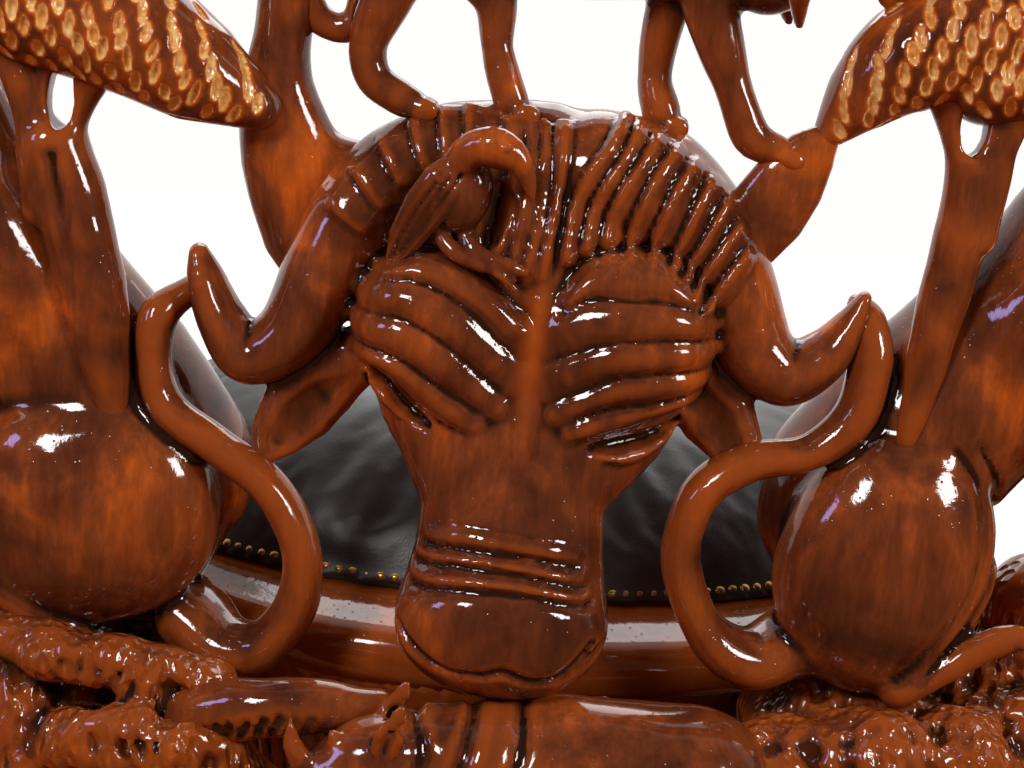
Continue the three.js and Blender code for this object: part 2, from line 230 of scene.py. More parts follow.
def skin(block):
    """Surface nets: the points in millimetres and the quads of the block's surface."""
    inside = block.field < 0
    inside[[0, -1]] = inside[:, [0, -1]] = inside[:, :, [0, -1]] = False
    n = np.array(inside.shape) - 1
    count = sum(
        inside[c[0]:c[0] + n[0], c[1]:c[1] + n[1], c[2]:c[2] + n[2]].astype(np.uint8) for c in CORNERS
    )
    cells = np.argwhere((count > 0) & (count < 8))
    value = np.stack([block.field[tuple((cells + c).T)] for c in CORNERS], 1)
    held = np.stack([inside[tuple((cells + c).T)] for c in CORNERS], 1)
    value = np.where(held, np.minimum(value, -1e-4), np.maximum(value, 1e-4))
    total = np.zeros((len(cells), 3))
    hits = np.zeros(len(cells))
    for a, b in EDGES:
        crossed = held[:, a] != held[:, b]
        t = value[:, a] / np.where(crossed, value[:, a] - value[:, b], 1)
        place = CORNERS[a] + t[:, None] * (CORNERS[b] - CORNERS[a])
        total += np.where(crossed[:, None], place, 0)
        hits += crossed
    points = block.low + block.step * (cells + total / hits[:, None])
    number = np.full(n, -1, np.int64)
    number[tuple(cells.T)] = np.arange(len(cells))
    quads = []
    for axis in range(3):
        one, two = (axis + 1) % 3, (axis + 2) % 3
        lower = np.take(inside, range(inside.shape[axis] - 1), axis)
        upper = np.take(inside, range(1, inside.shape[axis]), axis)
        at = np.argwhere(lower != upper)
        out = lower[tuple(at.T)]
        ring = []
        for i, j in ((1, 1), (0, 1), (0, 0), (1, 0)):
            step = np.zeros(3, int)
            step[one], step[two] = i, j
            ring.append(number[tuple((at - step).T)])
        ring = np.stack(ring, 1)
        quads.append(np.where(out[:, None], ring, ring[:, ::-1]))
    return points, np.concatenate(quads)


# %% Smooth the skin, and measure its hollows
def neighbours(quads):
    sides = np.sort(np.concatenate([quads[:, [i, (i + 1) % 4]] for i in range(4)]), axis=1)
    return np.unique(sides, axis=0)


def mean_of_neighbours(points, sides):
    both = np.concatenate([sides, sides[:, ::-1]])
    weight = np.bincount(both[:, 0], minlength=len(points))
    total = np.stack([np.bincount(both[:, 0], points[both[:, 1], a], len(points)) for a in range(3)], 1)
    return total / np.maximum(weight, 1)[:, None]


def sanded(points, sides, rounds):
    """Smoothing that shrinks a little and then swells as much, so volume is kept."""
    for _ in range(rounds):
        for strength in (0.5, -0.52):
            points = points + strength * (mean_of_neighbours(points, sides) - points)
    return points


def outward(points, quads):
    """Unit normals at the points."""
    face = np.cross(points[quads[:, 2]] - points[quads[:, 0]], points[quads[:, 3]] - points[quads[:, 1]])
    total = np.stack([sum(np.bincount(quads[:, i], face[:, a], len(points)) for i in range(4))
                      for a in range(3)], 1)
    return total / np.maximum(np.linalg.norm(total, axis=1), 1e-9)[:, None]


def hollows(points, quads, sides, rounds=(4, 16)):
    """How deep each point lies in a hollow: above 0.5 in a groove, below it on a ridge."""
    normals = outward(points, quads)
    smooth, done, depth = points, 0, 0
    for stop in rounds:
        for _ in range(stop - done):
            smooth = 0.5 * smooth + 0.5 * mean_of_neighbours(smooth, sides)
        done = stop
        depth = depth + np.sum((smooth - points) * normals, axis=1)
    return np.clip(0.5 + depth / 4.0, 0, 1)


# %% Make a Blender piece of a block
PIECES = []


def finish_mesh(points, quads, name, material, sides, bare_and_highlight=None, tooled=None):
    """Makes points in millimetres and quads a piece of the carving, with its marks."""
    mesh = bpy.data.meshes.new(name)
    mesh.vertices.add(len(points))
    mesh.vertices.foreach_set("co", (points * MM).astype(np.float32).ravel())
    mesh.loops.add(quads.size)
    mesh.loops.foreach_set("vertex_index", quads.astype(np.int32).ravel())
    mesh.polygons.add(len(quads))
    mesh.polygons.foreach_set("loop_start", np.arange(0, quads.size, 4, dtype=np.int32))
    mesh.update(calc_edges=True)
    mesh.validate()
    mesh.shade_smooth()
    marks = {"hollow": hollows(points, quads, sides)}
    marks["bare_and_highlight"] = np.zeros(len(points)) if bare_and_highlight is None else bare_and_highlight(points)
    marks["tooled"] = np.zeros(len(points)) if tooled is None else tooled(points)
    for mark, values in marks.items():
        layer = mesh.attributes.new(mark, "FLOAT", "POINT")
        layer.data.foreach_set("value", values.astype(np.float32))
    mesh.materials.append(material)
    piece = bpy.data.objects.new(name, mesh)
    bpy.context.collection.objects.link(piece)
    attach(piece, "root")
    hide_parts("carved_throne")
    PIECES.append(piece)
    print(f"{name}: {2 * len(quads)} triangles, {time.time() - STARTED:.1f} s so far")


def finish_block(block, name, material, sand=3, bare_and_highlight=None, tooled=None):
    """Skins and sands a block, with a mark of bare gouge cuts and of painted highlights, and tooled the
    small cuts of rock.
    """
    points, quads = skin(block)
    sides = neighbours(quads)
    points = sanded(points, sides, sand)
    finish_mesh(points, quads, name, material, sides, bare_and_highlight, tooled)


# %% [markdown]
# ## Chisel strokes
#
# On top of the forms come the cuts that give the carving its life. Two tools are enough.
#
# A stroke is drawn on the face of the work, as seen from the back, and pushes the surface out
# into a roll or in to a groove along a line. The folds over the buffalo's eyes and the hair
# between its horns are strokes. The ribs of the horns overlap like shingles, so there each
# strip is high at one edge and falls off to the other. Drawing strokes flat and pressing them
# onto the form is how a carver lays them out too, and it is cheaper than a tool for each cut.
#
# A gouge cut is a short scoop. Hundreds of them cover the foliage and the rocks, each cut square
# to the surface where it lands, so they also look right from the side and from above.

# %% Strokes on the face of the work
def stroke_map(block, strokes):
    """The height of all strokes over the block's x and z grid. A stroke is
    (stations, height), and its stations are (x, z, half width)."""
    x, z = block.axes[0][:, None], block.axes[2][None, :]
    rolls = np.zeros((len(block.axes[0]), len(block.axes[2])), np.float32)
    grooves = np.zeros_like(rolls)
    for stations, height in strokes:
        path = through([(s[0], 0, s[1], s[2]) for s in stations], 4.0)
        best = np.full_like(rolls, 9.0)
        along = np.zeros_like(rolls)
        gone = 0.0
        for a, b in zip(path[:-1], path[1:]):
            dx, dz = b[0] - a[0], b[2] - a[2]
            span = max(dx * dx + dz * dz, 1e-6)
            t = np.clip(((x - a[0]) * dx + (z - a[2]) * dz) / span, 0, 1)
            far = np.hypot(x - a[0] - dx * t, z - a[2] - dz * t) / (a[3] + (b[3] - a[3]) * t)
            along = np.where(far < best, gone + t * math.sqrt(span), along)
            best = np.minimum(best, far)
            gone += math.sqrt(span)
        edge = np.clip(1 - best**2, 0, 1)
        if height > 0:
            ends = np.clip(np.minimum(along, gone - along) / 16 + 0.25, 0, 1)
            rolls = np.maximum(rolls, height * edge**0.7 * np.sqrt(ends))
        else:
            grooves = np.minimum(grooves, height * np.clip(1 - best, 0, 1) ** 1.2)
    return rolls + grooves


def between(lines, height, fill=1.12):
    """Rolls that fill the strips between neighbouring lines. All lines have as many points."""
    strokes = []
    for one, two in zip(lines[:-1], lines[1:]):
        roll = []
        for (xa, za), (xb, zb) in zip(one, two):
            roll.append(((xa + xb) / 2, (za + zb) / 2, fill * math.hypot(xb - xa, zb - za) / 2))
        strokes.append((roll, height))
    return strokes


def beside(block, line):
    """How far each place of the grid lies to the right of a line, and where along the line."""
    x, z = block.axes[0][:, None], block.axes[2][None, :]
    path = through([(a, 0, b, 1) for a, b in line], 4.0)
    best = np.full((len(block.axes[0]), len(block.axes[2])), 1e6, np.float32)
    right, along, gone = best.copy(), best * 0, 0.0
    for a, b in zip(path[:-1], path[1:]):
        dx, dz = b[0] - a[0], b[2] - a[2]
        length = math.hypot(dx, dz)
        t = np.clip(((x - a[0]) * dx + (z - a[2]) * dz) / length**2, 0, 1)
        far = np.hypot(x - a[0] - dx * t, z - a[2] - dz * t)
        side = np.sign((z - a[2]) * dx - (x - a[0]) * dz)
        near = far < best
        right, along = np.where(near, far * side, right), np.where(near, gone + t * length, along)
        best = np.minimum(best, far)
        gone += length
    return right, np.minimum(along, gone - along)


def shingles(block, lines, height, low_y, high_y):
    """Raises the strips between lines that run down. Each is high at its left and falls off to
    its right, as ribs of horn overlap."""
    cut = slice(*np.searchsorted(block.axes[1], [low_y, high_y]))
    sides = [beside(block, line) for line in lines]
    relief = np.zeros_like(sides[0][0])
    for (left, from_end), (right, other_end) in zip(sides[:-1], sides[1:]):
        inside = (left > 0) & (right < 0) & (from_end > 0.3) & (other_end > 0.3)
        across = np.where(inside, left / np.maximum(left - right, 1e-3), 0)
        rise = np.minimum(across / 0.22, 1) ** 0.6 * (1 - across) ** 0.8
        ends = np.clip(np.minimum(from_end, other_end) / 7 + 0.2, 0, 1)
        relief = np.where(inside, height * rise * ends, relief)
    block.field[:, cut] -= relief[:, None, :]


def press(block, strokes, low_y, high_y):
    """Presses strokes into the part of the block between two depths."""
    cut = slice(*np.searchsorted(block.axes[1], [low_y, high_y]))
    block.field[:, cut] -= stroke_map(block, strokes)[:, None, :]


# %% Gouge cuts and a hand's unevenness
def slope(block, cell):
    i, j, k = np.clip(cell, 1, np.array(block.size) - 2)
    f = block.field
    n = np.array([f[i + 1, j, k] - f[i - 1, j, k], f[i, j + 1, k] - f[i, j - 1, k],
                  f[i, j, k + 1] - f[i, j, k - 1]], float)
    return n / max(np.linalg.norm(n), 1e-6)


def gouge(block, cell, length, width, depth, lean):
    """One scoop, square to the surface at a cell, with its length running downhill."""
    normal = slope(block, cell)
    down = np.array([math.sin(lean), 0, math.cos(lean)])
    if abs(normal @ down) > 0.93:
        down = np.array([math.cos(lean), math.sin(lean), 0])
    down = down - normal * (normal @ down)
    down /= np.linalg.norm(down)
    side = np.cross(normal, down)
    centre = block.low + block.step * np.array(cell)
    reach = length / 2 + 2 * block.step
    cut, x, y, z = block.window(centre - reach, centre + reach)
    x, y, z = x - centre[0], y - centre[1], z - centre[2]
    u = (x * down[0] + y * down[1] + z * down[2]) / (length / 2)
    v = (x * side[0] + y * side[1] + z * side[2]) / (width / 2)
    w = (x * normal[0] + y * normal[1] + z * normal[2]) / depth
    ball = np.sqrt(u * u + v * v + w * w)
    block.cut_away(cut, (ball - 1) * min(width / 2, depth), 0.8)
    block.mark[cut] = np.maximum(block.mark[cut], np.clip((1.24 - ball) * 5, 0, 1))


def spread_cells(block, spacing, seed, where):
    """Cells on the surface, at least a spacing apart, where a test of their places holds."""
    near = np.argwhere(np.abs(block.field[1:-1, 1:-1, 1:-1]) < 0.55 * block.step) + 1
    places = block.low + block.step * near
    near = near[where(places)]
    rng = np.random.default_rng(seed)
    near = near[rng.permutation(len(near))]
    taken = {}
    for cell in near:
        key = tuple((cell * block.step / spacing).astype(int))
        around = [taken.get((key[0] + i, key[1] + j, key[2] + k)) for i in (-1, 0, 1)
                  for j in (-1, 0, 1) for k in (-1, 0, 1)]
        apart = spacing / block.step
        if all(a is None or np.linalg.norm(cell - a) >= apart for a in around):
            taken[key] = cell
    return list(taken.values())


def pepper(block, spacing, size, seed, where=lambda p: np.ones(len(p), bool)):
    """Covers a surface with gouge cuts. size is a cut's length, width and depth."""
    rng = np.random.default_rng(seed)
    cells = spread_cells(block, spacing, seed, where)
    for cell in cells:
        scale = rng.uniform(0.8, 1.2)
        gouge(block, cell, size[0] * scale, size[1] * scale, size[2], rng.normal(0, 0.22))
    print(len(cells), "gouge cuts")


def marks_at(block, points):
    """The marks of the gouge at points, blended between the eight cells round each."""
    place = np.clip((points - block.low) / block.step, 0, np.array(block.size) - 1.001)
    cell, part = place.astype(int), place % 1
    total = 0
    for corner in CORNERS:
        weight = np.prod(np.where(corner, part, 1 - part), axis=1)
        total = total + weight * block.mark[tuple((cell + corner).T)]
    return total


def waver(block, height, length, seed):
    """The slight unevenness that a knife leaves on a smooth form."""
    rng = np.random.default_rng(seed)
    x, y, z = block.axes[0][:, None, None], block.axes[1][None, :, None], block.axes[2][None, None, :]
    for _ in range(5):
        way = rng.normal(size=3)
        way *= 2 * math.pi / (length * rng.uniform(0.7, 1.6)) / np.linalg.norm(way)
        phase = rng.uniform(0, 2 * math.pi)
        block.field += np.float32(height / 2.2) * np.sin(way[0] * x + way[1] * y + way[2] * z + phase)

# %% [markdown]
# ## Finishes
#
# Three finishes show: stained wood under thick varnish, black leather, and brass. All are
# patterns worked out from the place on the object, so nothing needs unwrapping. A pattern
# that more than one finish needs goes in a node group, which puts out plain values, and the
# shader stays in each material.
#
# The group "hand finish" gives broad patches, a fine grain stretched along one way, and nibs,
# the specks that dust leaves in a varnish. Wood, leather and brass use it at their own scales.
# It also draws small scoops side by side, 1 between them and 0 at their bottoms, for rock.
#
# Node trees are mostly wiring, so two helpers do it: an input is given by name as a value, or
# as the output of another node.

# %% Add a node and wire it
def feed(tree, node, inputs):
    """Sets a node's inputs: values are written in, and sockets are linked."""
    for socket, value in inputs.items():
        if isinstance(value, bpy.types.NodeSocket):
            tree.links.new(value, node.inputs[socket])
        else:
            node.inputs[socket].default_value = value


def wired(tree, kind, inputs, **settings):
    """Adds a node, with its settings made and its inputs fed, and returns its outputs."""
    node = tree.nodes.new(kind)
    for name, value in settings.items():
        setattr(node, name, value)
    feed(tree, node, inputs)
    return node.outputs


# %% The shared group
def hand_finish():
    """Inputs: patch and grain scale, grain stretch. Outputs: patches, grain, nibs and cuts."""
    group = bpy.data.node_groups.new("hand finish", "ShaderNodeTree")
    new_socket = group.interface.new_socket
    for name, value in (("Patch scale", 9.0), ("Grain scale", 110.0), ("Grain stretch", 0.12)):
        new_socket(name=name, in_out="INPUT", socket_type="NodeSocketFloat").default_value = value
    for name in ("Patches", "Grain", "Nibs", "Cuts"):
        new_socket(name=name, in_out="OUTPUT", socket_type="NodeSocketFloat")
    given = wired(group, "NodeGroupInput", {})
    place = wired(group, "ShaderNodeTexCoord", {})["Object"]
    patches = wired(group, "ShaderNodeTexNoise", {
        "Vector": place, "Scale": given["Patch scale"], "Detail": 5.0, "Distortion": 0.6})
    stretch = wired(group, "ShaderNodeCombineXYZ", {"X": 1.0, "Y": 1.0, "Z": given["Grain stretch"]})
    squeezed = wired(group, "ShaderNodeVectorMath", {0: place, 1: stretch[0]}, operation="MULTIPLY")
    grain = wired(group, "ShaderNodeTexNoise", {
        "Vector": squeezed[0], "Scale": given["Grain scale"], "Detail": 4.0, "Roughness": 0.65})
    dust = wired(group, "ShaderNodeTexVoronoi", {"Vector": place, "Scale": 170.0})
    nibs = wired(group, "ShaderNodeMapRange", {
        "Value": dust["Distance"], "From Min": 0.16, "From Max": 0.05})
    bent = wired(group, "ShaderNodeVectorMath", {
        0: patches["Color"], 1: (0.014, 0.014, 0.014), 2: place}, operation="MULTIPLY_ADD")
    upright = wired(group, "ShaderNodeVectorMath", {0: bent[0], 1: (1.0, 1.0, 0.5)}, operation="MULTIPLY")
    scoops = wired(group, "ShaderNodeTexVoronoi", {"Vector": upright[0], "Scale": 128.0})
    cuts = wired(group, "ShaderNodeMapRange", {
        "Value": scoops["Distance"], "From Min": 0.02, "From Max": 0.62})
    wired(group, "NodeGroupOutput", {
        "Patches": patches["Fac"], "Grain": grain["Fac"], "Nibs": nibs["Result"], "Cuts": cuts["Result"]})
    return group


HAND_FINISH = hand_finish()


# %% A material under way
class Finish:
    """Short ways to add a ramp, a mix, a mark and a bump to a material."""

    def __init__(self, name, patch, grain, stretch):
        self.material = bpy.data.materials.new(name)
        self.material.use_nodes = True
        self.tree = self.material.node_tree
        scales = {"Patch scale": patch, "Grain scale": grain, "Grain stretch": stretch}
        self.hand = wired(self.tree, "ShaderNodeGroup", scales, node_tree=HAND_FINISH)

    def ramp(self, source, stops):
        node = self.tree.nodes.new("ShaderNodeValToRGB")
        while len(node.color_ramp.elements) < len(stops):
            node.color_ramp.elements.new(0.5)
        for element, (place, colour) in zip(node.color_ramp.elements, stops):
            element.position = place
            element.color = (*colour, 1) if isinstance(colour, tuple) else (colour, colour, colour, 1)
        feed(self.tree, node, {"Fac": source})
        return node.outputs["Color"]

    def mix(self, factor, a, b, blend="MIX"):
        a, b = ((*c, 1) if isinstance(c, tuple) else c for c in (a, b))
        inputs = {"Factor": factor, 6: a, 7: b}
        return wired(self.tree, "ShaderNodeMix", inputs, data_type="RGBA", blend_type=blend)[2]

    def mark(self, name):
        return wired(self.tree, "ShaderNodeAttribute", {}, attribute_name=name)["Fac"]

    def bump(self, height, distance, strength=1.0, under=None):
        inputs = {"Height": height, "Distance": distance, "Strength": strength}
        if under is not None:
            inputs["Normal"] = under
        return wired(self.tree, "ShaderNodeBump", inputs)["Normal"]

    def done(self, **inputs):
        shader = self.tree.nodes["Principled BSDF"]
        named = {name.replace("_", " ").title().replace("Ior", "IOR"): v for name, v in inputs.items()}
        feed(self.tree, shader, named)
        return self.material


# %% [markdown]
# ### Stained and varnished wood
#
# The stain is a red brown that went on thick and was wiped off, and shows orange in streaks
# along the grain. The colour goes nearly black in the grooves, partly stain gathered there and
# partly painted shade, and orange on ridges, partly stain worn thin and partly a painted
# highlight. Two values on each point steer that, so the colour follows the carving itself: how
# deep it lies in a hollow, and how bare it is, which also carries a painted highlight down the
# buffalo's forehead. Under a thick varnish no rough sheen of the wood is left, so one low
# roughness does for both.

# %% Varnished wood
STAIN_DARK, STAIN_MID = (0.070, 0.0175, 0.0075), (0.148, 0.035, 0.0115)
STAIN_WARM, STAIN_GLOW = (0.238, 0.055, 0.0135), (0.52, 0.104, 0.0095)
# near black in the grooves, partly stain and partly painted shade; orange on ridges, partly worn stain and
# partly painted highlight
GROOVE_STAIN_AND_SHADE, RIDGE_WEAR_AND_HIGHLIGHT = (0.020, 0.006, 0.003), (0.36, 0.075, 0.010)
# orange round bare cuts, and the painted highlight down the buffalo's forehead
CUT_RIM_ORANGE_AND_HIGHLIGHT, SCOOP_FLOOR = (0.46, 0.088, 0.008), (0.50, 0.16, 0.025)
BARE_DARK, BARE_PALE = (0.92, 0.40, 0.070), (1.0, 0.74, 0.30)


def varnished_wood():
    wood = Finish("varnished wood", 15.0, 130.0, 0.22)
    patches, grain, cuts = wood.hand["Patches"], wood.hand["Grain"], wood.hand["Cuts"]
    body = wood.ramp(patches, [(0.32, STAIN_DARK), (0.47, STAIN_MID), (0.58, STAIN_WARM),
                               (0.72, STAIN_GLOW)])
    streaks = wood.ramp(grain, [(0.32, (0.72, 0.68, 0.66)), (0.52, (1.0, 1.0, 1.0)),
                                (0.74, (1.55, 1.45, 1.2))])
    body = wood.mix(1.0, body, streaks, "MULTIPLY")
    hollow, bare_and_highlight, tooled = wood.mark("hollow"), wood.mark("bare_and_highlight"), wood.mark("tooled")
    # ridges lighter, partly worn stain and partly painted highlight; grooves near black, partly stain and
    # partly painted shade
    body = wood.mix(wood.ramp(hollow, [(0.12, 0.70), (0.36, 0.0)]), body, RIDGE_WEAR_AND_HIGHLIGHT)
    body = wood.mix(wood.ramp(hollow, [(0.56, 0.0), (0.80, 1.0)]), body, GROOVE_STAIN_AND_SHADE)
    bare = wood.ramp(grain, [(0.3, BARE_DARK), (0.65, BARE_PALE)])
    # orange round bare cuts and the painted highlight down the forehead, then bare wood inside the cuts
    body = wood.mix(wood.ramp(bare_and_highlight, [(0.0, 0.0), (0.4, 1.0)]), body, CUT_RIM_ORANGE_AND_HIGHLIGHT)
    body = wood.mix(wood.ramp(bare_and_highlight, [(0.45, 0.0), (0.9, 1.0)]), body, bare)
    scooped = wood.mix(wood.ramp(cuts, [(0.0, 0.55), (0.5, 0.0)]), body, SCOOP_FLOOR)
    body = wood.mix(tooled, body, scooped)
    under = wood.bump(cuts, 0.0030, tooled, wood.bump(grain, 0.0004, 0.25))
    ripple = wood.bump(patches, 0.004, 0.25, under)
    normal = wood.bump(wood.hand["Nibs"], 0.0003, 0.5, ripple)
    rough = wood.ramp(patches, [(0.3, 0.05), (0.7, 0.10)])
    return wood.done(base_color=body, roughness=rough, specular_ior_level=0.5, normal=normal)


# %% Leather and brass
def black_leather():
    leather = Finish("black leather", 14.0, 420.0, 1.0)
    patches = leather.hand["Patches"]
    colour = leather.ramp(patches, [(0.3, (0.011, 0.010, 0.011)), (0.7, (0.026, 0.023, 0.024))])
    place = wired(leather.tree, "ShaderNodeTexCoord", {})["Object"]
    pebbles = wired(leather.tree, "ShaderNodeTexVoronoi", {"Vector": place, "Scale": 620.0})
    pebble = leather.bump(pebbles["Distance"], 0.0003, 0.22)
    normal = leather.bump(leather.hand["Grain"], 0.0004, 0.25, pebble)
    rough = leather.ramp(patches, [(0.3, 0.36), (0.7, 0.48)])
    return leather.done(base_color=colour, roughness=rough, sheen_weight=0.22, sheen_roughness=0.45,
                        normal=normal)


def brass():
    metal = Finish("old brass", 60.0, 500.0, 1.0)
    patches = metal.hand["Patches"]
    colour = metal.ramp(patches, [(0.3, (0.22, 0.12, 0.03)), (0.5, (0.55, 0.36, 0.11)),
                                  (0.75, (0.72, 0.50, 0.18))])
    rough = metal.ramp(patches, [(0.3, 0.42), (0.7, 0.22)])
    normal = metal.bump(metal.hand["Grain"], 0.0001, 0.3)
    return metal.done(base_color=colour, roughness=rough, metallic=1.0, normal=normal)


WOOD, LEATHER, BRASS = varnished_wood(), black_leather(), brass()
print("finishes:", ", ".join(m.name for m in (WOOD, LEATHER, BRASS)))

# %% [markdown]
# ## The buffalo's head
#
# The head hangs down the middle of the back: horns swept out and up, heavy folds over sleepy
# eyes, a narrow nose and a broad muzzle that rests on the rhinoceros. The forms come first,
# then the folds as rolls pressed onto them, then the overlapping ribs of the horns.
# The two sides differ, as they do on hand work: the left folds slant down to the nose, and the
# right ones arch.

# %% Carve the buffalo's head
HEAD_X = 10
OUTSIDE_Y, FACE_Y, HORN_Y = -352, -238, -230  # how deep strokes are pressed


def buffalo():
    block = Block((-222, -352, 392), (236, -160, 792), 2.25)
    skull = [(HEAD_X, -212, 744, 30, 20), (HEAD_X, -216, 726, 66, 34), (HEAD_X, -226, 690, 96, 46),
             (HEAD_X, -232, 645, 104, 50), (HEAD_X, -239, 607, 100, 49),
             (HEAD_X - 2, -248, 578, 88, 45), (HEAD_X - 4, -257, 555, 71, 42),
             (HEAD_X - 4, -266, 532, 56, 41), (HEAD_X - 4, -277, 500, 56, 40),
             (HEAD_X - 5, -287, 466, 63, 44), (HEAD_X - 5, -289, 452, 56, 38),
             (HEAD_X - 4, -288, 446, 44, 28)]
    limb(block, skull)
    lump(block, (-44, -255, 629), (52, 38, 56), -16, soft=10)
    lump(block, (66, -255, 632), (51, 38, 60), 12, soft=10)
    lump(block, (HEAD_X - 6, -298, 461), (60, 40, 40), soft=14)
    carve_horns(block)
    carve_ears(block)
    # the hollow under the small bird, and the nostrils
    groove(block, [(-15, -282, 738, 7), (-14, -272, 714, 13), (-17, -274, 690, 9)])
    groove(block, [(-60, -308, 464, 3), (-52, -322, 452, 8), (-40, -328, 440, 9), (-22, -330, 427, 3)],
           soft=1.5)
    groove(block, [(66, -304, 458, 3), (56, -322, 446, 7), (44, -328, 437, 8), (26, -330, 425, 3)],
           soft=1.5)
    press(block, face_strokes(), OUTSIDE_Y, FACE_Y)
    rib_horns(block)
    waver(block, 0.5, 46, seed=3)
    # the strip down the forehead is a painted highlight
    finish_block(block, "buffalo_head", WOOD, bare_and_highlight=forehead_painted_highlight)


def forehead_painted_highlight(points):
    """A painted highlight: a pale orange strip down the middle of the forehead, between the brows."""
    x, y, z = points.T
    strip = np.exp(-(((x - HEAD_X - 0.05 * (z - 620)) / 7) ** 2))
    return 0.30 * strip * np.clip((z - 560) / 60, 0, 1) * np.clip((676 - z) / 24, 0, 1) * (y < -255)


def face_strokes():
    """Folds lie between the creases of the brows and of the nose."""
    right = [[(25, 652), (29, 668), (39, 681), (59, 687), (80, 685), (107, 664)],
             [(21, 643), (32, 656), (47, 662), (69, 663), (90, 663), (112, 655)],
             [(20, 622), (34, 630), (49, 636), (68, 640), (88, 641), (114, 640)],
             [(23, 599), (39, 607), (56, 616), (74, 620), (92, 622), (116, 623)],
             [(34, 588), (51, 596), (66, 600), (81, 602), (97, 605), (114, 608)],
             [(40, 577), (57, 581), (72, 585), (86, 592), (97, 597), (108, 602)]]
    left = [[(-80, 669), (-60, 677), (-40, 677), (-21, 668), (-7, 657), (6, 643)],
            [(-86, 661), (-65, 664), (-47, 660), (-30, 651), (-13, 637), (3, 622)],
            [(-92, 641), (-70, 643), (-52, 637), (-37, 628), (-22, 616), (-6, 602)],
            [(-96, 622), (-77, 621), (-61, 616), (-47, 607), (-32, 597), (-14, 588)],
            [(-95, 610), (-80, 609), (-68, 603), (-58, 594), (-47, 587), (-30, 583)]]
    nose = [[(-36, 519), (-17, 523), (6, 523), (28, 520), (40, 516)],
            [(-42, 508), (-22, 512), (4, 512), (27, 509), (45, 504)],
            [(-46, 497), (-24, 502), (2, 503), (28, 499), (50, 492)],
            [(-48, 486), (-26, 491), (2, 493), (29, 490), (54, 484)]]
    strokes = between(right, 7.5) + between(left, 7.5) + between(nose, 3.2)
    strokes += [([(x, z, 5.0) for x, z in line], -3.0) for line in nose[1:]]
    strokes += [([(x, z + 2, 7.0) for x, z in right[0]], -5), ([(x, z + 2, 6.0) for x, z in left[0]], -4),
                ([(-27, 675, 3), (-15, 669, 7), (0, 655, 4)], 5)]
    # slits of the eyes, and the swelling of the ball in each
    strokes += [([(-90, 606, 4), (-75, 598, 9), (-63, 587, 9), (-48, 577, 4)], -10),
                ([(50, 572, 4), (66, 574, 9), (84, 577, 9), (100, 585, 4)], -10),
                ([(-84, 596, 3), (-74, 590, 7), (-62, 580, 4)], 5),
                ([(56, 567, 3), (76, 567, 6), (96, 575, 3)], 4)]
    # hair between the horns, and the ridge down the forehead
    hair = [[(-21, 760), (-14, 742), (-14, 716), (-20, 676)], [(-7, 762), (-3, 744), (-3, 716), (-10, 672)],
            [(2, 762), (5, 737), (4, 703), (-2, 670)], [(11, 762), (13, 735), (12, 703), (8, 670)],
            [(23, 762), (23, 735), (19, 704), (17, 672)]]
    strokes += between(hair, 6.0) + [([(15, 664, 4), (13, 640, 8), (11, 605, 9), (9, 560, 4)], 2)]
    # the edge of the upper lip
    strokes += [([(-56, 462, 3), (-43, 450, 4), (-26, 443, 4), (-5, 444, 4), (8, 448, 4), (24, 441, 4),
                  (41, 443, 4), (58, 462, 3)], -4.5)]
    return strokes


def rib_horns(block):
    """Long ribs at the root of the right horn, and cuffs round the root of the left one."""
    ribs = [[(54, 768), (43, 748), (32, 732), (25, 711), (23, 693), (22, 672)],
            [(62, 764), (52, 742), (42, 724), (36, 709), (34, 694), (34, 676)],
            [(72, 758), (62, 740), (52, 723), (47, 708), (45, 695), (45, 680)],
            [(84, 752), (72, 735), (65, 719), (61, 706), (59, 694), (58, 683)],
            [(95, 746), (84, 729), (78, 714), (74, 701), (73, 692), (72, 682)],
            [(106, 738), (98, 722), (93, 709), (89, 696), (87, 688), (85, 679)],
            [(118, 728), (109, 713), (104, 701), (99, 690), (96, 683), (94, 673)],
            [(128, 716), (119, 704), (113, 694), (107, 684), (103, 675), (100, 664)],
            [(136, 702), (127, 691), (121, 682), (115, 673), (110, 663), (106, 655)],
            [(140, 688), (133, 678), (128, 669), (122, 660), (116, 651), (111, 644)]]
    cuffs = [[(-30, 768), (-28, 730)], [(-42, 768), (-38, 726)], [(-58, 762), (-50, 722)],
             [(-76, 754), (-60, 716)], [(-94, 740), (-70, 704)], [(-108, 722), (-80, 692)],
             [(-122, 700), (-88, 678)]]
    shingles(block, ribs, 8.5, OUTSIDE_Y, HORN_Y)
    shingles(block, cuffs[::-1], 5.0, OUTSIDE_Y, HORN_Y)


def carve_horns(block):
    limb(block, [(-4, -214, 740, 24), (-45, -218, 731, 29), (-77, -222, 714, 31), (-99, -228, 690, 30),
                 (-117, -235, 656, 26), (-136, -240, 617, 22, 28), (-160, -241, 602, 19, 27),
                 (-178, -242, 622, 15, 24), (-188, -245, 646, 11, 18), (-192, -247, 662, 6, 9)], soft=4,
         depth=1.2)
    limb(block, [(14, -216, 722, 32), (42, -220, 722, 41), (74, -222, 714, 42), (102, -226, 694, 37),
                 (122, -231, 668, 31), (136, -235, 643, 26), (146, -238, 627, 23, 28),
                 (165, -240, 615, 20, 27), (187, -243, 629, 15, 23), (199, -247, 650, 9, 14),
                 (205, -249, 667, 4, 7)], soft=4, depth=1.15)
    # the inner side of each tip is hollowed behind its front edge
    groove(block, [(-148, -228, 628, 3), (-160, -226, 626, 8), (-171, -224, 644, 9),
                   (-181, -226, 668, 8)])
    groove(block, [(156, -228, 640, 3), (170, -226, 640, 8), (184, -225, 652, 8), (196, -226, 676, 7)])


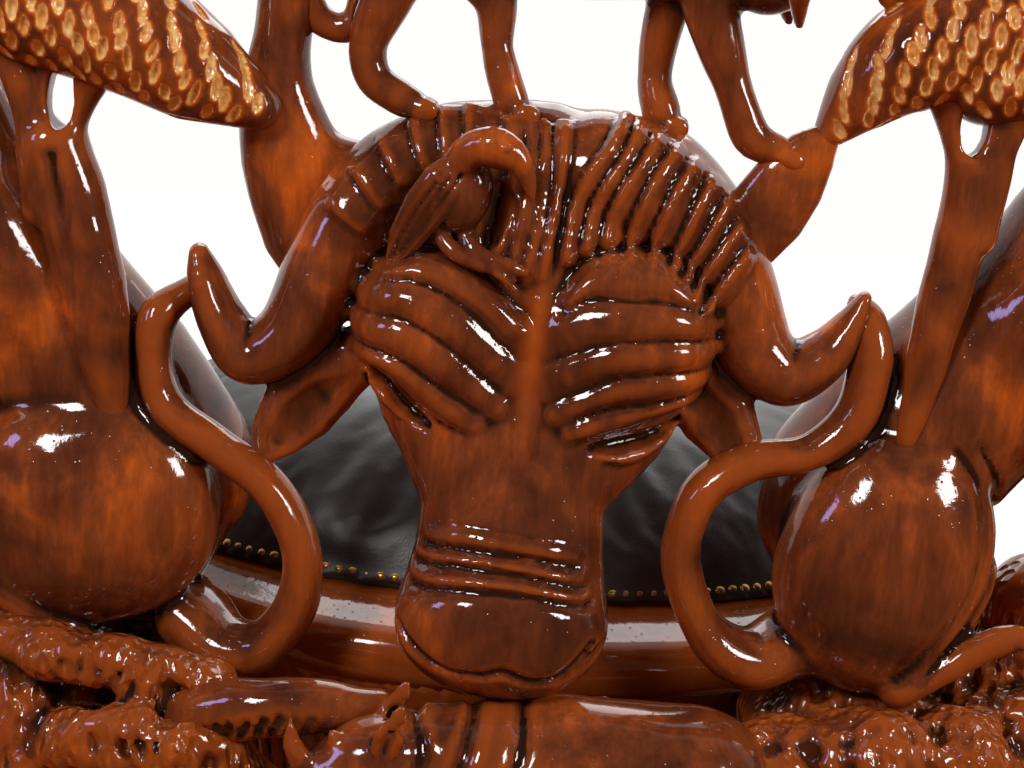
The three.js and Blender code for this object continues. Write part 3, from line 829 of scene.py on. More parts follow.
def carve_ears(block):
    for side, x, drop in ((-1, 116, 16), (1, 114, 0)):
        ear = [(x - 42, -226, 634, 14, 12), (x - 18, -232, 617, 19, 14), (x, -237, 602, 24, 14),
               (x + 13, -242, 586, 24, 13), (x + 25, -248, 569, 17, 10), (x + 34, -254, 553, 4, 5)]
        bowl = [(x - 22, -248, 608, 3, 3), (x - 3, -255, 596, 13, 10), (x + 10, -259, 582, 16, 10),
                (x + 21, -262, 568, 11, 9), (x + 30, -265, 556, 3, 3)]
        limb(block, on_side(side, -drop, ear))
        groove(block, on_side(side, -drop, bowl))


buffalo()

# %% [markdown]
# ## The leopards
#
# A leopard sits at each end, facing away from the seat, so its round haunches close the
# bottom of the back and its tail swings up behind to the buffalo's horn. One function makes
# both: the side flips x, and the left one sits a little lower, as on the real throne. Only
# the tails differ, because each was carved to meet the head where it could.

# %% Carve the seated leopards
LEFT_DROP = 14


def side_block(side, low, high, step):
    """A block on the left or right, given by its corners on the right."""
    x = sorted((side * low[0], side * high[0]))
    return Block((x[0], *low[1:]), (x[1], *high[1:]), step)


def leopard(side):
    lift = -LEFT_DROP if side < 0 else 0
    block = side_block(side, (88, -318, 386 + lift), (450, -100, 842 + lift), 3.2)

    def leg(stations, **how):
        limb(block, on_side(side, lift, stations), **how)

    def mass(centre, radii, lean=0, soft=10.0, **how):
        lump(block, (side * centre[0], centre[1], centre[2] + lift), radii, side * lean, soft, **how)

    leg([(200, -200, 500, 30, 34), (224, -200, 528, 62, 60), (262, -204, 578, 67, 62),
         (310, -210, 642, 61, 56), (338, -214, 700, 50, 48), (352, -216, 748, 37, 37),
         (364, -218, 776, 30, 30)], soft=16)
    mass((238, -209, 488), (54, 52, 65), soft=14)
    # the left haunch is broader than the right
    if side > 0:
        mass((238, -252, 502), (67, 43, 85), 10, soft=7)
    else:
        mass((258, -252, 511), (85, 43, 74), 4, soft=9)
    mass((251, -167, 496), (60, 28, 78), 10, soft=7)
    # shoulders, breast and the forelegs
    for y in (-250, -178):
        mass((326, y, 664), (36, 24, 56), 16, soft=16)
        leg([(332, y, 660, 27), (346, y - 2, 612, 23), (354, y - 2, 570, 19), (360, y - 2, 500, 15),
             (368, y - 2, 462, 16), (380, y - 2, 442, 17), (394, y - 2, 437, 14)], soft=8)
        for toe in (-9, 0, 9):
            mass((404, y - 2 + toe, 433), (12, 6, 8), soft=3)
    mass((352, -214, 690), (34, 36, 52), 10, soft=18)
    # hind feet, long and slender, with toes
    for y in (-272, -150):
        leg([(252, y, 428, 11), (272, y, 442, 10), (292, y, 455, 10), (310, y, 465, 10),
             (320, y, 468, 8)], soft=6)
        for toe in (-6, 0, 6):
            mass((328, y + toe, 467), (8, 4.5, 6), soft=3)
    # folds of skin down the front of the haunch
    for shift, height in ((0, -3.2), (-15, -2.2)) if side > 0 else ():
        fold = [(282 + shift, 584, 3), (298 + shift, 562, 5), (303 + shift, 530, 6), (296 + shift, 492, 6),
                (278 + shift, 458, 5), (262 + shift, 436, 3)]
        press(block, [([(side * x, z + lift, w) for x, z, w in fold], height)], -318, -212)
    leopard_head(mass, leg)
    tail = {
        1: [(190, -240, 440, 22), (160, -254, 434, 18), (129, -262, 456, 13.5), (111, -264, 500, 12),
            (119, -262, 541, 12), (147, -260, 563, 11.5), (182, -257, 571, 11.5), (207, -252, 594, 12.5),
            (214, -247, 628, 14), (209, -238, 650, 12), (203, -234, 660, 6)],
        -1: [(-190, -236, 424, 22), (-168, -252, 414, 18), (-143, -260, 419, 15.5), (-123, -262, 448, 13.5),
             (-121, -262, 484, 12.5), (-141, -260, 522, 11.5), (-176, -258, 547, 11), (-206, -255, 567, 11),
             (-216, -252, 594, 10.5), (-215, -243, 622, 11.5), (-197, -230, 638, 9)],
    }[side]
    limb(block, tail, soft=6, depth=1.35)
    waver(block, 0.7, 60, seed=11 + side)
    finish_block(block, "leopard_right" if side > 0 else "leopard_left", WOOD)


def leopard_head(mass, leg):
    mid = -218  # the middle of the face
    mass((382, mid, 792), (38, 34, 32), soft=14)
    mass((412, mid, 782), (24, 20, 16), soft=10)
    mass((404, mid, 768), (20, 16, 10), soft=6)
    mass((432, mid, 789), (7, 9, 6), soft=3)
    for s in (-1, 1):
        mass((370, mid + s * 25, 818), (9, 10, 13), soft=5)
        mass((375, mid + s * 25, 821), (6, 6, 9), soft=2, carve=True)
        mass((402, mid + s * 20, 802), (9, 7, 7), 20, soft=4)
        mass((409, mid + s * 21, 801), (6, 6, 3.5), 20, soft=1.5, carve=True)
        mass((408, mid + s * 20, 800), (5, 5, 4), soft=1)
        leg([(388, mid + s * 16, 816, 3), (400, mid + s * 20, 811, 4), (408, mid + s * 25, 804, 3)], soft=3)
        leg([(396, mid + s * 20, 770, 1.5), (414, mid + s * 18, 773, 2.4), (430, mid + s * 8, 775, 1.5)],
            soft=1.5, carve=True)
        for row in range(3):
            mass((418 - row * 5, mid + s * 19, 783 + row * 3), (1.8, 3, 1.8), soft=1, carve=True)


leopard(1)
leopard(-1)

# %% [markdown]
# ## Trees and their foliage
#
# From each leopard's haunch grows a short tree. Its crown is a flat cloud, and the carver
# covered it with rows of upright gouge cuts that go through the stain to the pale wood, so it
# sparkles like leaves. The rows are laid out by a rule: along the crown's centre line a
# column of cuts every few millimetres, each column shifted by half a cut from the last, on
# the back and the front alike.

# %% Rows of gouge cuts on a flat crown
def surface_cell(block, x, z, face):
    """The first cell of wood met along y at a place, coming from the back, -1, or the front, 1."""
    i = int(round((x - block.low[0]) / block.step))
    k = int(round((z - block.low[2]) / block.step))
    if not (1 < i < block.size[0] - 2 and 1 < k < block.size[2] - 2):
        return None
    line = block.field[i, :, k]
    wood = np.flatnonzero(line < 0)
    if len(wood) == 0:
        return None
    j = wood[0] if face < 0 else wood[-1]
    return (i, int(np.clip(j, 2, block.size[1] - 3)), k)


def leaf_cuts(block, stations, seed, pitch=7.8, length=17.0):
    """Staggered columns of cuts along a crown. The cuts stand nearly upright."""
    rng = np.random.default_rng(seed)
    path = through(stations, 3.0)
    run = np.r_[0, np.cumsum(np.linalg.norm(np.diff(path[:, :3], axis=0), axis=1))]
    columns = int(run[-1] / pitch)
    made = 0
    for column in range(columns + 1):
        at = [np.interp(column * pitch, run, path[:, a]) for a in range(5)]
        ahead = [np.interp(column * pitch + 1, run, path[:, a]) for a in (0, 2)]
        angle = math.atan2(ahead[1] - at[2], ahead[0] - at[0])
        across = np.array([-math.sin(angle), math.cos(angle)])
        across = across * math.copysign(1, across[1])
        reach = at[3] * 1.05
        row_gap = length * 1.12
        shift = (column % 2) * row_gap / 2
        for row in np.arange(-reach + shift, reach, row_gap):
            size = length * rng.uniform(0.72, 1.05)
            lean = math.atan2(across[0], across[1]) * 0.45 + rng.normal(0, 0.10)
            for face in (-1, 1):
                x, z = at[0] + across[0] * row, at[2] + across[1] * row
                cell = surface_cell(block, x + rng.normal(0, 0.5), z + rng.normal(0, 1.0), face)
                if cell is not None:
                    gouge(block, cell, size, rng.uniform(5.2, 6.6), 2.9, lean)
                    made += 1
    print(made, "leaf cuts")


# %% Carve the trees
def foliage(side):
    block = side_block(side, (146, -302, 722), (372, -180, 890), 1.5)
    crown = {
        1: [(172, -236, 758, 8), (192, -236, 786, 22), (216, -236, 808, 32), (256, -236, 826, 38),
            (302, -236, 836, 39), (344, -234, 838, 26), (352, -232, 838, 16)],
        -1: [(-162, -236, 750, 14), (-202, -236, 770, 31), (-244, -236, 792, 40), (-292, -236, 804, 41),
             (-340, -234, 812, 28), (-350, -232, 815, 16)],
    }[side]
    limb(block, crown, soft=4, depth=1.2)
    # the crown is two clouds, one before the other
    limb(block, [(side * 262, -236, 800, 28), (side * 306, -236, 812, 31), (side * 344, -234, 822, 22)],
         depth=1.55)
    leaf_cuts(block, crown, seed=31 + side)
    finish_block(block, "foliage_right" if side > 0 else "foliage_left", WOOD, sand=1,
                        bare_and_highlight=lambda points: marks_at(block, points))


def tree(side):
    right = side > 0
    lift, lean, r = (0, 0, 16) if right else (-26, 10, 22)
    block = side_block(side, (196, -302, 540), (322, -190, 822), 2.8)
    x, z = 260 + lean * 2, 742
    trunk = [(238, -262, 584, 6), (242, -258, 608, r * 0.62), (248 + lean * 0.4, -252, 652, r * 0.9),
             (256 + lean, -248, 706, r), (260 + lean * 2, -246, 744, r)]
    limb(block, on_side(side, lift, trunk), soft=4, depth=0.9)
    for dx, dz, radius in ((-22, 50, 10), (4, 54, 8), (24, 58, 11)):
        fork = [(x + dx * 0.2, -248, z - 34, radius + 2), (x + dx * 0.45, -247, z + dz * 0.3, radius),
                (x + dx, -240, z + dz, radius + 3)]
        limb(block, on_side(side, lift, fork))
    # the gap between two branches, and the valley below it
    lump(block, (side * (x - 6), -246, z + 32 + lift), (8, 60, 19), soft=2, carve=True)
    valley = [(252 + lean, -273, 640, 2), (256 + lean, -271, 690, 3.5), (255 + lean * 2, -267, 742, 5)]
    groove(block, on_side(side, lift, valley))
    waver(block, 0.4, 34, seed=21 + side)
    finish_block(block, "tree_right" if right else "tree_left", WOOD, sand=2)


for side in (1, -1):
    foliage(side)
    tree(side)

# %% [markdown]
# ## The figures over the buffalo
#
# A lion walks across the buffalo's horns, a giraffe stands behind on the left, and an eagle
# perches on the right crown. A small bird leans down over the brow, and a fan of tail feathers
# hangs under the lion's right paw. Each is a few limbs and lumps, then its own details: claws,
# a mane, feathers.

# %% Carve the lion
def paw(block, x, y, z, size, way):
    """Toes at the front of a paw that points along x."""
    for toe in (-0.62, 0, 0.62):
        lump(block, (x + way * size * 0.35, y + toe * size, z), (size * 0.75, size * 0.42, size * 0.62),
             soft=2)


def lion():
    mid = -222  # the plane that it walks in
    block = Block((-158, -296, 734), (222, -156, 968), 2.4)
    limb(block, [(-96, mid, 868, 24), (-80, mid, 866, 33), (-50, mid, 862, 35), (10, mid, 860, 34),
                 (64, mid, 866, 38), (112, mid, 876, 40), (126, mid, 884, 30)], soft=8, depth=0.95)
    lump(block, (-84, mid, 866), (34, 34, 36), soft=12)
    legs = [
        [(-80, -230, 856, 25), (-88, -230, 822, 16), (-99, -231, 792, 11.5), (-95, -232, 772, 11),
         (-80, -234, 762, 11), (-72, -234, 759, 9)],
        [(-42, -214, 850, 24), (-27, -217, 822, 13), (-24, -221, 793, 9.5), (-14, -226, 764, 11)],
        [(82, -210, 852, 20), (74, -211, 823, 13), (70, -214, 784, 10), (76, -219, 764, 11)],
        [(98, -230, 868, 25), (97, -230, 831, 17), (113, -234, 788, 12), (128, -238, 756, 11),
         (146, -240, 748, 9)],
    ]
    for stations in legs:
        limb(block, stations, soft=5)
    for x, y, z, way in ((-68, -234, 756, 1), (-8, -230, 757, 1), (82, mid, 756, 1), (150, -240, 744, 1)):
        paw(block, x, y, z, 11, way)
    limb(block, [(-106, mid, 872, 9), (-117, -219, 850, 8.5), (-106, -216, 820, 8.5),
                 (-112, -214, 799, 8.5), (-130, -212, 801, 9), (-140, -212, 816, 9)], soft=4)
    lion_mane(block, mid)
    waver(block, 0.5, 40, seed=41)
    finish_block(block, "lion", WOOD)


def lion_mane(block, mid):
    lump(block, (134, mid, 886), (44, 42, 62), 10, soft=8)
    rng = np.random.default_rng(43)
    # locks sweep back and down from the face, on both sides
    for face in (-1, 1):
        for i in range(9):
            angle = math.radians(-70 + 24 * i)
            start = (150 + 12 * math.cos(angle), mid + face * 36, 900 + 26 * math.sin(angle))
            middle = (132 + 34 * math.cos(angle), mid + face * 43, 888 + 46 * math.sin(angle))
            end = (122 + 50 * math.cos(angle + 0.2), mid + face * 22, 876 + 64 * math.sin(angle + 0.2))
            limb(block, [(*start, 5), (*middle, 8.5 * rng.uniform(0.85, 1.15)), (*end, 3)], soft=2.5)
    lump(block, (166, mid, 912), (33, 28, 30), soft=6)
    lump(block, (192, mid, 902), (20, 16, 13), soft=8)
    lump(block, (190, mid, 890), (15, 12, 8), soft=4)
    lump(block, (208, mid, 907), (6, 8, 5), soft=3)
    for s in (-1, 1):
        lump(block, (154, mid + s * 27, 936), (10, 8, 11), soft=3)
        lump(block, (158, mid + s * 30, 937), (6, 5, 7), soft=2, carve=True)
        limb(block, [(176, mid + s * 13, 929, 3), (186, mid + s * 19, 925, 4), (192, mid + s * 22, 918, 3)])
        lump(block, (188, mid + s * 20, 917), (6, 5, 3.5), soft=1.5, carve=True)
        lump(block, (187, mid + s * 18.5, 916), (4.5, 4.5, 3.5), soft=1)
        groove(block, [(178, mid + s * 16, 893, 1.5), (194, mid + s * 15, 894, 2.2),
                       (206, mid + s * 6, 896, 1.5)], soft=1.5)


lion()


# %% Carve the giraffe
def giraffe():
    mid = -212  # the plane that its neck stands in
    block = Block((-228, -262, 600), (-84, -164, 1100), 2.6)
    limb(block, [(-112, mid, 640, 22, 20), (-127, mid, 676, 34, 26), (-144, mid, 720, 31, 24),
                 (-154, mid, 762, 21, 20), (-151, mid, 811, 16.5), (-143, mid, 930, 15),
                 (-136, mid, 1036, 15)], soft=6)
    lump(block, (-110, mid, 690), (38, 24, 44), 30, soft=12)
    limb(block, [(-134, mid, 1044, 19), (-148, mid, 1045, 19), (-176, mid, 1030, 14.5),
                 (-200, mid, 1016, 11)], soft=7, depth=0.9)
    lump(block, (-202, mid, 1011), (11, 11, 9), soft=5)
    # a short upright mane down the nape
    limb(block, [(-121, mid, 1044, 4), (-124, mid, 980, 4.5), (-129, mid, 900, 4.5),
                 (-136, mid, 820, 3)], depth=0.7, relief=lambda along, around: 0.9 * np.sin(along * 60))
    for s in (-1, 1):
        limb(block, [(-140, mid + s * 8, 1054, 6), (-135, mid + s * 10, 1074, 4.6)], soft=2.5)
        lump(block, (-134.5, mid + s * 10.3, 1079), (6, 6, 5.5), soft=2)
        limb(block, [(-132, mid + s * 14, 1050, 6, 4), (-120, mid + s * 25, 1058, 8, 4),
                     (-111, mid + s * 33, 1064, 3, 2)], soft=2, reference=Z_AXIS)
        lump(block, (-158, mid + s * 16, 1050), (6, 4, 5), soft=3)
        groove(block, [(-166, mid + s * 15, 1051, 1.4), (-157, mid + s * 19, 1054, 2),
                     (-149, mid + s * 17, 1052, 1.4)], soft=1)
        lump(block, (-209, mid + s * 6, 1016), (2.6, 2.2, 2.2), soft=1, carve=True)
        groove(block, [(-190, mid + s * 12, 1010, 1), (-204, mid + s * 10, 1006, 1.8),
                       (mid, mid, 1006, 1.2)], soft=1)
    waver(block, 0.6, 50, seed=47)
    finish_block(block, "giraffe", WOOD)


giraffe()


# %% Carve the eagle
def eagle():
    back, mid = -232, -230  # the middle of the back and of the head
    block = Block((186, -276, 826), (306, -186, 1030), 2.1)
    limb(block, [(212, -235, 848, 12), (222, -234, 870, 22), (240, back, 912, 30), (250, mid, 954, 24),
                 (256, mid, 992, 16)], soft=5)
    limb(block, [(218, -234, 866, 14, 7), (208, -234, 848, 15, 6), (201, -234, 838, 13, 5)])
    for s in (-1, 1):
        wing = [(204, back + s * 13, 845, 4, 4), (212, back + s * 19, 860, 13, 7),
                (226, back + s * 24, 888, 20, 8), (244, back + s * 25, 932, 20, 9),
                (250, mid + s * 20, 954, 12, 8)]
        limb(block, wing, soft=1.5)
        # long flight feathers below, three rows of coverts above
        for i in range(4):
            o = i * 7.5 - 11
            quill = [(238 + o, back + s * 34, 908, 1), (224 + o * 0.8, back + s * 33, 880, 1.7),
                     (209 + o * 0.4, back + s * 25, 850, 1)]
            groove(block, quill, soft=1)
        for row in range(4):
            for i in range(4):
                x, z = 232 + i * 8 - row * 3 + (row % 2) * 4, 904 + row * 13 + i * 1.5
                cell = surface_cell(block, x, z, s)
                if cell is not None:
                    gouge(block, cell, 11, 6, 2.2, 0.35)
    lump(block, (260, mid, 999), (21, 17, 18), soft=5)
    limb(block, [(272, mid, 1002, 9), (284, mid, 1000, 7), (291, mid, 990, 4), (291, mid, 984, 2)],
         soft=2.5)
    for s in (-1, 1):
        lump(block, (268, mid + s * 15, 1004), (4.5, 3.6, 4.2), soft=1.5)
        limb(block, [(258, mid + s * 15, 1012, 1.5), (268, mid + s * 16, 1011, 2.4),
                     (277, mid + s * 11, 1006, 1.5)], soft=2)
        groove(block, [(274, mid + s * 9, 996, 1), (284, mid + s * 6, 993, 1.4)], soft=1)
        limb(block, [(224, mid + s * 9, 868, 9), (228, mid + s * 10, 850, 7),
                     (234, mid + s * 10, 840, 6)])
    waver(block, 0.3, 26, seed=53)
    finish_block(block, "eagle", WOOD)


eagle()


# %% Carve the small bird and the fan of tail feathers
def small_bird():
    block = Block((-92, -312, 640), (26, -236, 776), 1.5)
    lump(block, (-35, -274, 713), (15, 15, 23), 16, soft=4)
    limb(block, [(-38, -272, 716, 12), (-39, -279, 730, 10.5), (-33, -284, 740, 10.5),
                 (-22, -288, 744, 11), (-11, -290, 741, 9.5), (-3, -291, 733, 6.5), (1, -291, 724, 4),
                 (3, -290, 716, 1.6)])
    lump(block, (-18, -289, 743), (13, 11, 11), 25, soft=3)
    for y in (-300, -279):
        lump(block, (-13, y, 745), (2.6, 2.2, 2.6), soft=1)
    wing = [(-42, -280, 732, 7, 6), (-48, -285, 722, 12, 8), (-57, -283, 706, 13, 7),
            (-68, -277, 686, 10, 6), (-77, -271, 668, 2, 3)]
    limb(block, wing, soft=1.5)
    quills = [([(-45 + o, 724 + o * 0.4, 2), (-57 + o, 704 + o * 0.5, 3.6),
                (-73 + o * 0.4, 675 + o * 0.3, 2)], -3) for o in (-6.5, 0.5, 7.5)]
    press(block, quills, -312, -262)
    for x in (-46, -32):
        leg = [(x, -268, 702, 7), (x - 1, -276, 690, 5), (x + 8, -283, 681, 5), (x + 24, -286, 676, 4.8),
               (x + 34, -284, 673, 3)]
        limb(block, leg, soft=2)
    for toe in (-6, 0, 6):
        limb(block, [(-20, -286, 676, 3), (-10, -288 + toe * 0.4, 673 + toe * 0.5, 2.4),
                     (-3, -286, 668 + toe, 1.4)], soft=1)
    finish_block(block, "small_bird", WOOD, sand=2)


def tail_fan():
    block = Block((98, -272, 640), (196, -204, 780), 1.8)
    limb(block, [(174, -238, 760, 7, 7), (164, -238, 748, 16, 10), (154, -238, 731, 22, 12),
                 (143, -236, 711, 24, 13), (130, -233, 688, 20, 12), (120, -230, 670, 10, 8)])
    for i in range(8):
        o = (i - 3.5) * 5.6
        quill = [(170 + o * 0.25, -251, 752 - o * 0.18, 0.8), (150 + o * 0.8, -254, 724 - o * 0.6, 2.0),
                 (126 + o * 0.95, -249, 684 - o * 0.62, 1.2)]
        groove(block, quill, soft=0.8)
    finish_block(block, "tail_fan", WOOD, sand=2)


small_bird()
tail_fan()


# %% [markdown]
# ## The arch
#
# A bough springs from each crown and meets high over the figures, where a third flat crown
# closes the back. It is carved like the lower two. The bough keeps faint facets of the knife.

# %% Carve the arch and its crown
def arch():
    block = Block((-352, -262, 790), (352, -176, 1256), 4.2)
    half = [(296, -234, 852, 24), (316, -230, 920, 23), (300, -224, 1010, 24), (230, -219, 1098, 26),
            (120, -216, 1158, 28)]
    left = [(-x, y, z - (30 if z < 870 else 0), r) for x, y, z, r in half]
    limb(block, [*left, (0, -215, 1178, 30), *reversed(half)], soft=4,
         relief=lambda along, around: 1.4 * np.sin(3 * around + 2.2 * along) + 1.0 * np.sin(5.3 * along))
    for x, z, way in ((-318, 952, -1), (-276, 1050, 1), (-176, 1132, -1), (306, 985, 1), (252, 1072, -1),
                      (190, 1122, 1)):
        lump(block, (x, -222 + way * 17, z), (15, 12, 15), soft=10)
        lump(block, (x, -222 + way * 30, z), (6, 7, 7), soft=4, carve=True)
    waver(block, 1.0, 46, seed=59)
    finish_block(block, "arch_bough", WOOD)


def top_crown():
    block = Block((-182, -284, 1120), (182, -146, 1262), 2.8)
    stations = [(-156, -215, 1165, 14), (-120, -215, 1184, 33), (-50, -215, 1200, 45), (30, -215, 1204, 46),
                (100, -215, 1190, 37), (150, -215, 1168, 15)]
    limb(block, stations, soft=4, depth=1.12)
    for x, z, r in ((-86, 1196, 34), (4, 1204, 40), (84, 1196, 32)):
        lump(block, (x, -215, z), (r * 1.1, 54, r), soft=5)
    leaf_cuts(block, stations, seed=61, pitch=11.0, length=21.0)
    finish_block(block, "top_crown", WOOD, sand=2, bare_and_highlight=lambda points: marks_at(block, points))


arch()
top_crown()

# %% [markdown]
# ## The base
#
# Below the seat the log keeps its weight. Rocks with short gouge cuts carry the leopards, a
# rhinoceros walks along the back between them, and a fallen branch lies on the left. Dark gaps
# are left between the forms, so that they stand out. Behind and below, the log spreads into
# buttress roots with long cuts like bark, and ends in a low plinth.

# %% Carve the rocks under one leopard
def rocks(side):
    lift = -LEFT_DROP if side < 0 else 0
    block = side_block(side, (96, -352, 12), (440, -96, 510), 4.0)

    def rock(centre, radii, lean=0, soft=6.0, **how):
        lump(block, (side * centre[0], centre[1], centre[2] + lift), radii, side * lean, soft, **how)

    rock((252, -222, 376), (90, 68, 48), 4, soft=12)
    rock((342, -208, 384), (82, 74, 60), -8, soft=12)
    rock((318, -190, 240), (70, 82, 110), soft=20)
    rock((228, -246, 150), (98, 82, 134), soft=20)
    if side > 0:
        for centre, radii, lean in (((182, -292, 376), (40, 30, 36), 30),
                                    ((236, -296, 386), (46, 34, 38), 6),
                                    ((292, -284, 390), (40, 36, 34), -6),
                                    ((348, -262, 392), (44, 38, 42), -16),
                                    ((206, -286, 318), (44, 36, 40), 12),
                                    ((266, -290, 320), (42, 34, 44), -4),
                                    ((330, -262, 318), (46, 42, 46), -12),
                                    ((388, -226, 352), (36, 40, 50), -20)):
            rock(centre, radii, lean, soft=5)
        rock((352, -196, 446), (34, 40, 50), -12, soft=8)
        rock((196, -300, 424), (40, 34, 13), -6, soft=4, carve=True)
        rock((338, -284, 356), (26, 18, 10), -8, soft=4, carve=True)
    else:
        left_rocks(block)
    pepper(block, 18, (22, 11, 3.4), 71 + side,
           lambda p: (p[:, 1] < -150) & (p[:, 2] < 425 + lift) & (p[:, 2] > 60))
    waver(block, 1.6, 40, seed=73 + side)
    finish_block(block, "rocks_right" if side > 0 else "rocks_left", WOOD, sand=2,
                        bare_and_highlight=lambda points: 0.12 * marks_at(block, points), tooled=rock_faces)


def rock_faces(points):
    """Rock is tooled on its upright faces and bare of small cuts below."""
    return np.clip((points[:, 2] - 40) / 60, 0, 1)


def left_rocks(block):
    # a band under the leopard, a post with long cuts, and a lying form with a hollow end
    limb(block, [(-330, -262, 424, 14, 22), (-282, -286, 420, 15, 20), (-236, -292, 414, 18, 20),
                 (-196, -290, 404, 22, 22), (-168, -280, 392, 22, 20)], soft=4)
    limb(block, [(-292, -276, 400, 16, 20), (-284, -290, 372, 20, 22), (-276, -296, 330, 24, 26),
                 (-280, -290, 270, 28, 30), (-286, -280, 200, 34, 34)], soft=5)
    limb(block, [(-250, -304, 368, 20, 22), (-222, -312, 374, 24, 24), (-186, -312, 372, 27, 26),
                 (-152, -300, 352, 24, 24), (-132, -286, 330, 16, 16)], soft=4)
    groove(block, [(-238, -334, 352, 5), (-222, -338, 350, 10), (-204, -336, 350, 5)])
    lump(block, (-238, -286, 396), (26, 26, 9), 8, soft=4, carve=True)
    lump(block, (-232, -268, 392), (20, 18, 12), 8, soft=4, carve=True)
    for i in range(9):
        x, z = -262 + i * 11.5, 410 - i * 1.8
        groove(block, [(x - 2, -311, z - 8, 3), (x + 2, -314, z + 1, 4.6), (x + 7, -310, z + 11, 3)],
               soft=2)
    for i in range(4):
        x = -296 + i * 11
        groove(block, [(x, -320, 376, 3), (x + 2, -324, 340, 4.6), (x + 1, -320, 296, 3)], soft=2)
    for i in range(7):
        x = -222 + i * 11
        groove(block, [(x - 3, -334, 384, 3), (x + 2, -342, 370, 4.6), (x + 6, -338, 352, 3)], soft=2)


rocks(1)
rocks(-1)


# %% Carve the rhinoceros
def rhino():
    block = Block((-142, -386, 210), (222, -226, 448), 3.3)
    limb(block, [(-40, -318, 372, 32, 32), (-12, -316, 373, 42, 42), (50, -310, 370, 52, 50),
                 (120, -302, 364, 52, 50), (158, -294, 354, 40, 40)], soft=6)
    lump(block, (-4, -326, 376), (34, 34, 44), 12, soft=10)
    lump(block, (132, -306, 364), (44, 44, 52), -10, soft=10)
    for x, y in ((-8, -330), (128, -314), (22, -290), (152, -284)):
        limb(block, [(x, y, 346, 25), (x - 2, y - 4, 292, 19), (x - 5, y - 6, 250, 19),
                     (x - 6, y - 6, 238, 21)], soft=8)
        for toe in (-11, 0, 11):
            lump(block, (x - 6 + toe, y - 25, 228), (6, 5, 7), soft=2)
    rhino_head(block)
    # the folds of its hide
    hide = [[(-46, 418, 4), (-36, 398, 8), (-48, 360, 5)], [(-4, 430, 4), (-10, 404, 8), (-20, 370, 5)],
            [(18, 432, 4), (22, 404, 7), (10, 362, 6)]]
    press(block, [(fold, -4.5) for fold in hide], -386, -290)
    waver(block, 0.8, 44, seed=81)
    finish_block(block, "rhinoceros", WOOD)


def middle_rock():
    """The ledge that the rhinoceros walks on."""
    block = Block((-176, -352, 34), (236, -200, 262), 4.6)
    lump(block, (30, -262, 150), (188, 84, 102), soft=6)
    for x, y, z, r in ((-96, -292, 190, 52), (-20, -306, 168, 58), (66, -304, 186, 54),
                       (144, -286, 178, 56), (-60, -296, 104, 56), (40, -300, 96, 60), (126, -284, 96, 54)):
        lump(block, (x, y, z), (r, 38, r * 0.8), soft=8)
    pepper(block, 18, (24, 11, 3.6), 85, lambda p: (p[:, 1] < -230) & (p[:, 2] > 50))
    finish_block(block, "rock_middle", WOOD, sand=2, tooled=rock_faces)


def rhino_head(block):
    limb(block, [(-34, -322, 382, 33, 33), (-66, -332, 380, 29, 28), (-96, -340, 367, 19, 19),
                 (-108, -343, 362, 13, 14)], soft=7)
    limb(block, [(-101, -342, 378, 8), (-110, -344, 395, 6), (-113, -344, 412, 2.2)])
    limb(block, [(-84, -340, 394, 6), (-88, -342, 404, 3)])
    for y in (-352, -318):
        limb(block, [(-58, y, 398, 7, 5), (-54, y - 4, 412, 10, 5), (-48, y - 4, 430, 3, 2)], soft=2.5)
        groove(block, [(-57, y - 6, 402, 3), (-53, y - 9, 413, 5), (-49, y - 8, 424, 2)], soft=1.5)
    lump(block, (-82, -358, 384), (6, 5, 4), 10, soft=3)
    groove(block, [(-91, -361, 382, 1.2), (-82, -365, 384, 2), (-74, -362, 383, 1.2)], soft=1)
    groove(block, [(-116, -354, 360, 1.4), (-100, -360, 358, 2.4), (-80, -360, 362, 1.4)], soft=1.5)
    lump(block, (-112, -354, 369), (3, 3, 3), soft=1.5, carve=True)


rhino()
middle_rock()


# %% Carve the fallen branch
def branch():
    block = Block((-236, -336, 344), (-44, -254, 430), 2.6)
    limb(block, [(-212, -270, 366, 14), (-182, -294, 384, 19), (-146, -308, 398, 19), (-104, -310, 404, 17),
                 (-66, -304, 404, 11)])
    for i in range(14):
        x = -188 + i * 9.2
        z = 372 + 22 * math.sin(min(i / 8, 1) * math.pi / 2)
        groove(block, [(x - 3, -321 + abs(i - 8) * 0.7, z - 5, 2.2),
                       (x, -329 + abs(i - 8) * 1.4, z + 3, 3.0),
                       (x + 3, -328 + abs(i - 8) * 1.4, z + 9, 1.8)], soft=1.5)
    waver(block, 0.6, 30, seed=83)
    finish_block(block, "branch", WOOD, sand=2)


branch()


# %% [markdown]
# ## Turned forms with roots and bark
#
# The stump, the plinth and the seat are ovals that change with height, so a ring of points at
# each height describes them well, and displacement along the way out does the rest: lobes for
# the roots, long cuts for the bark. The rings end in a pole, closed by a fan of quads.

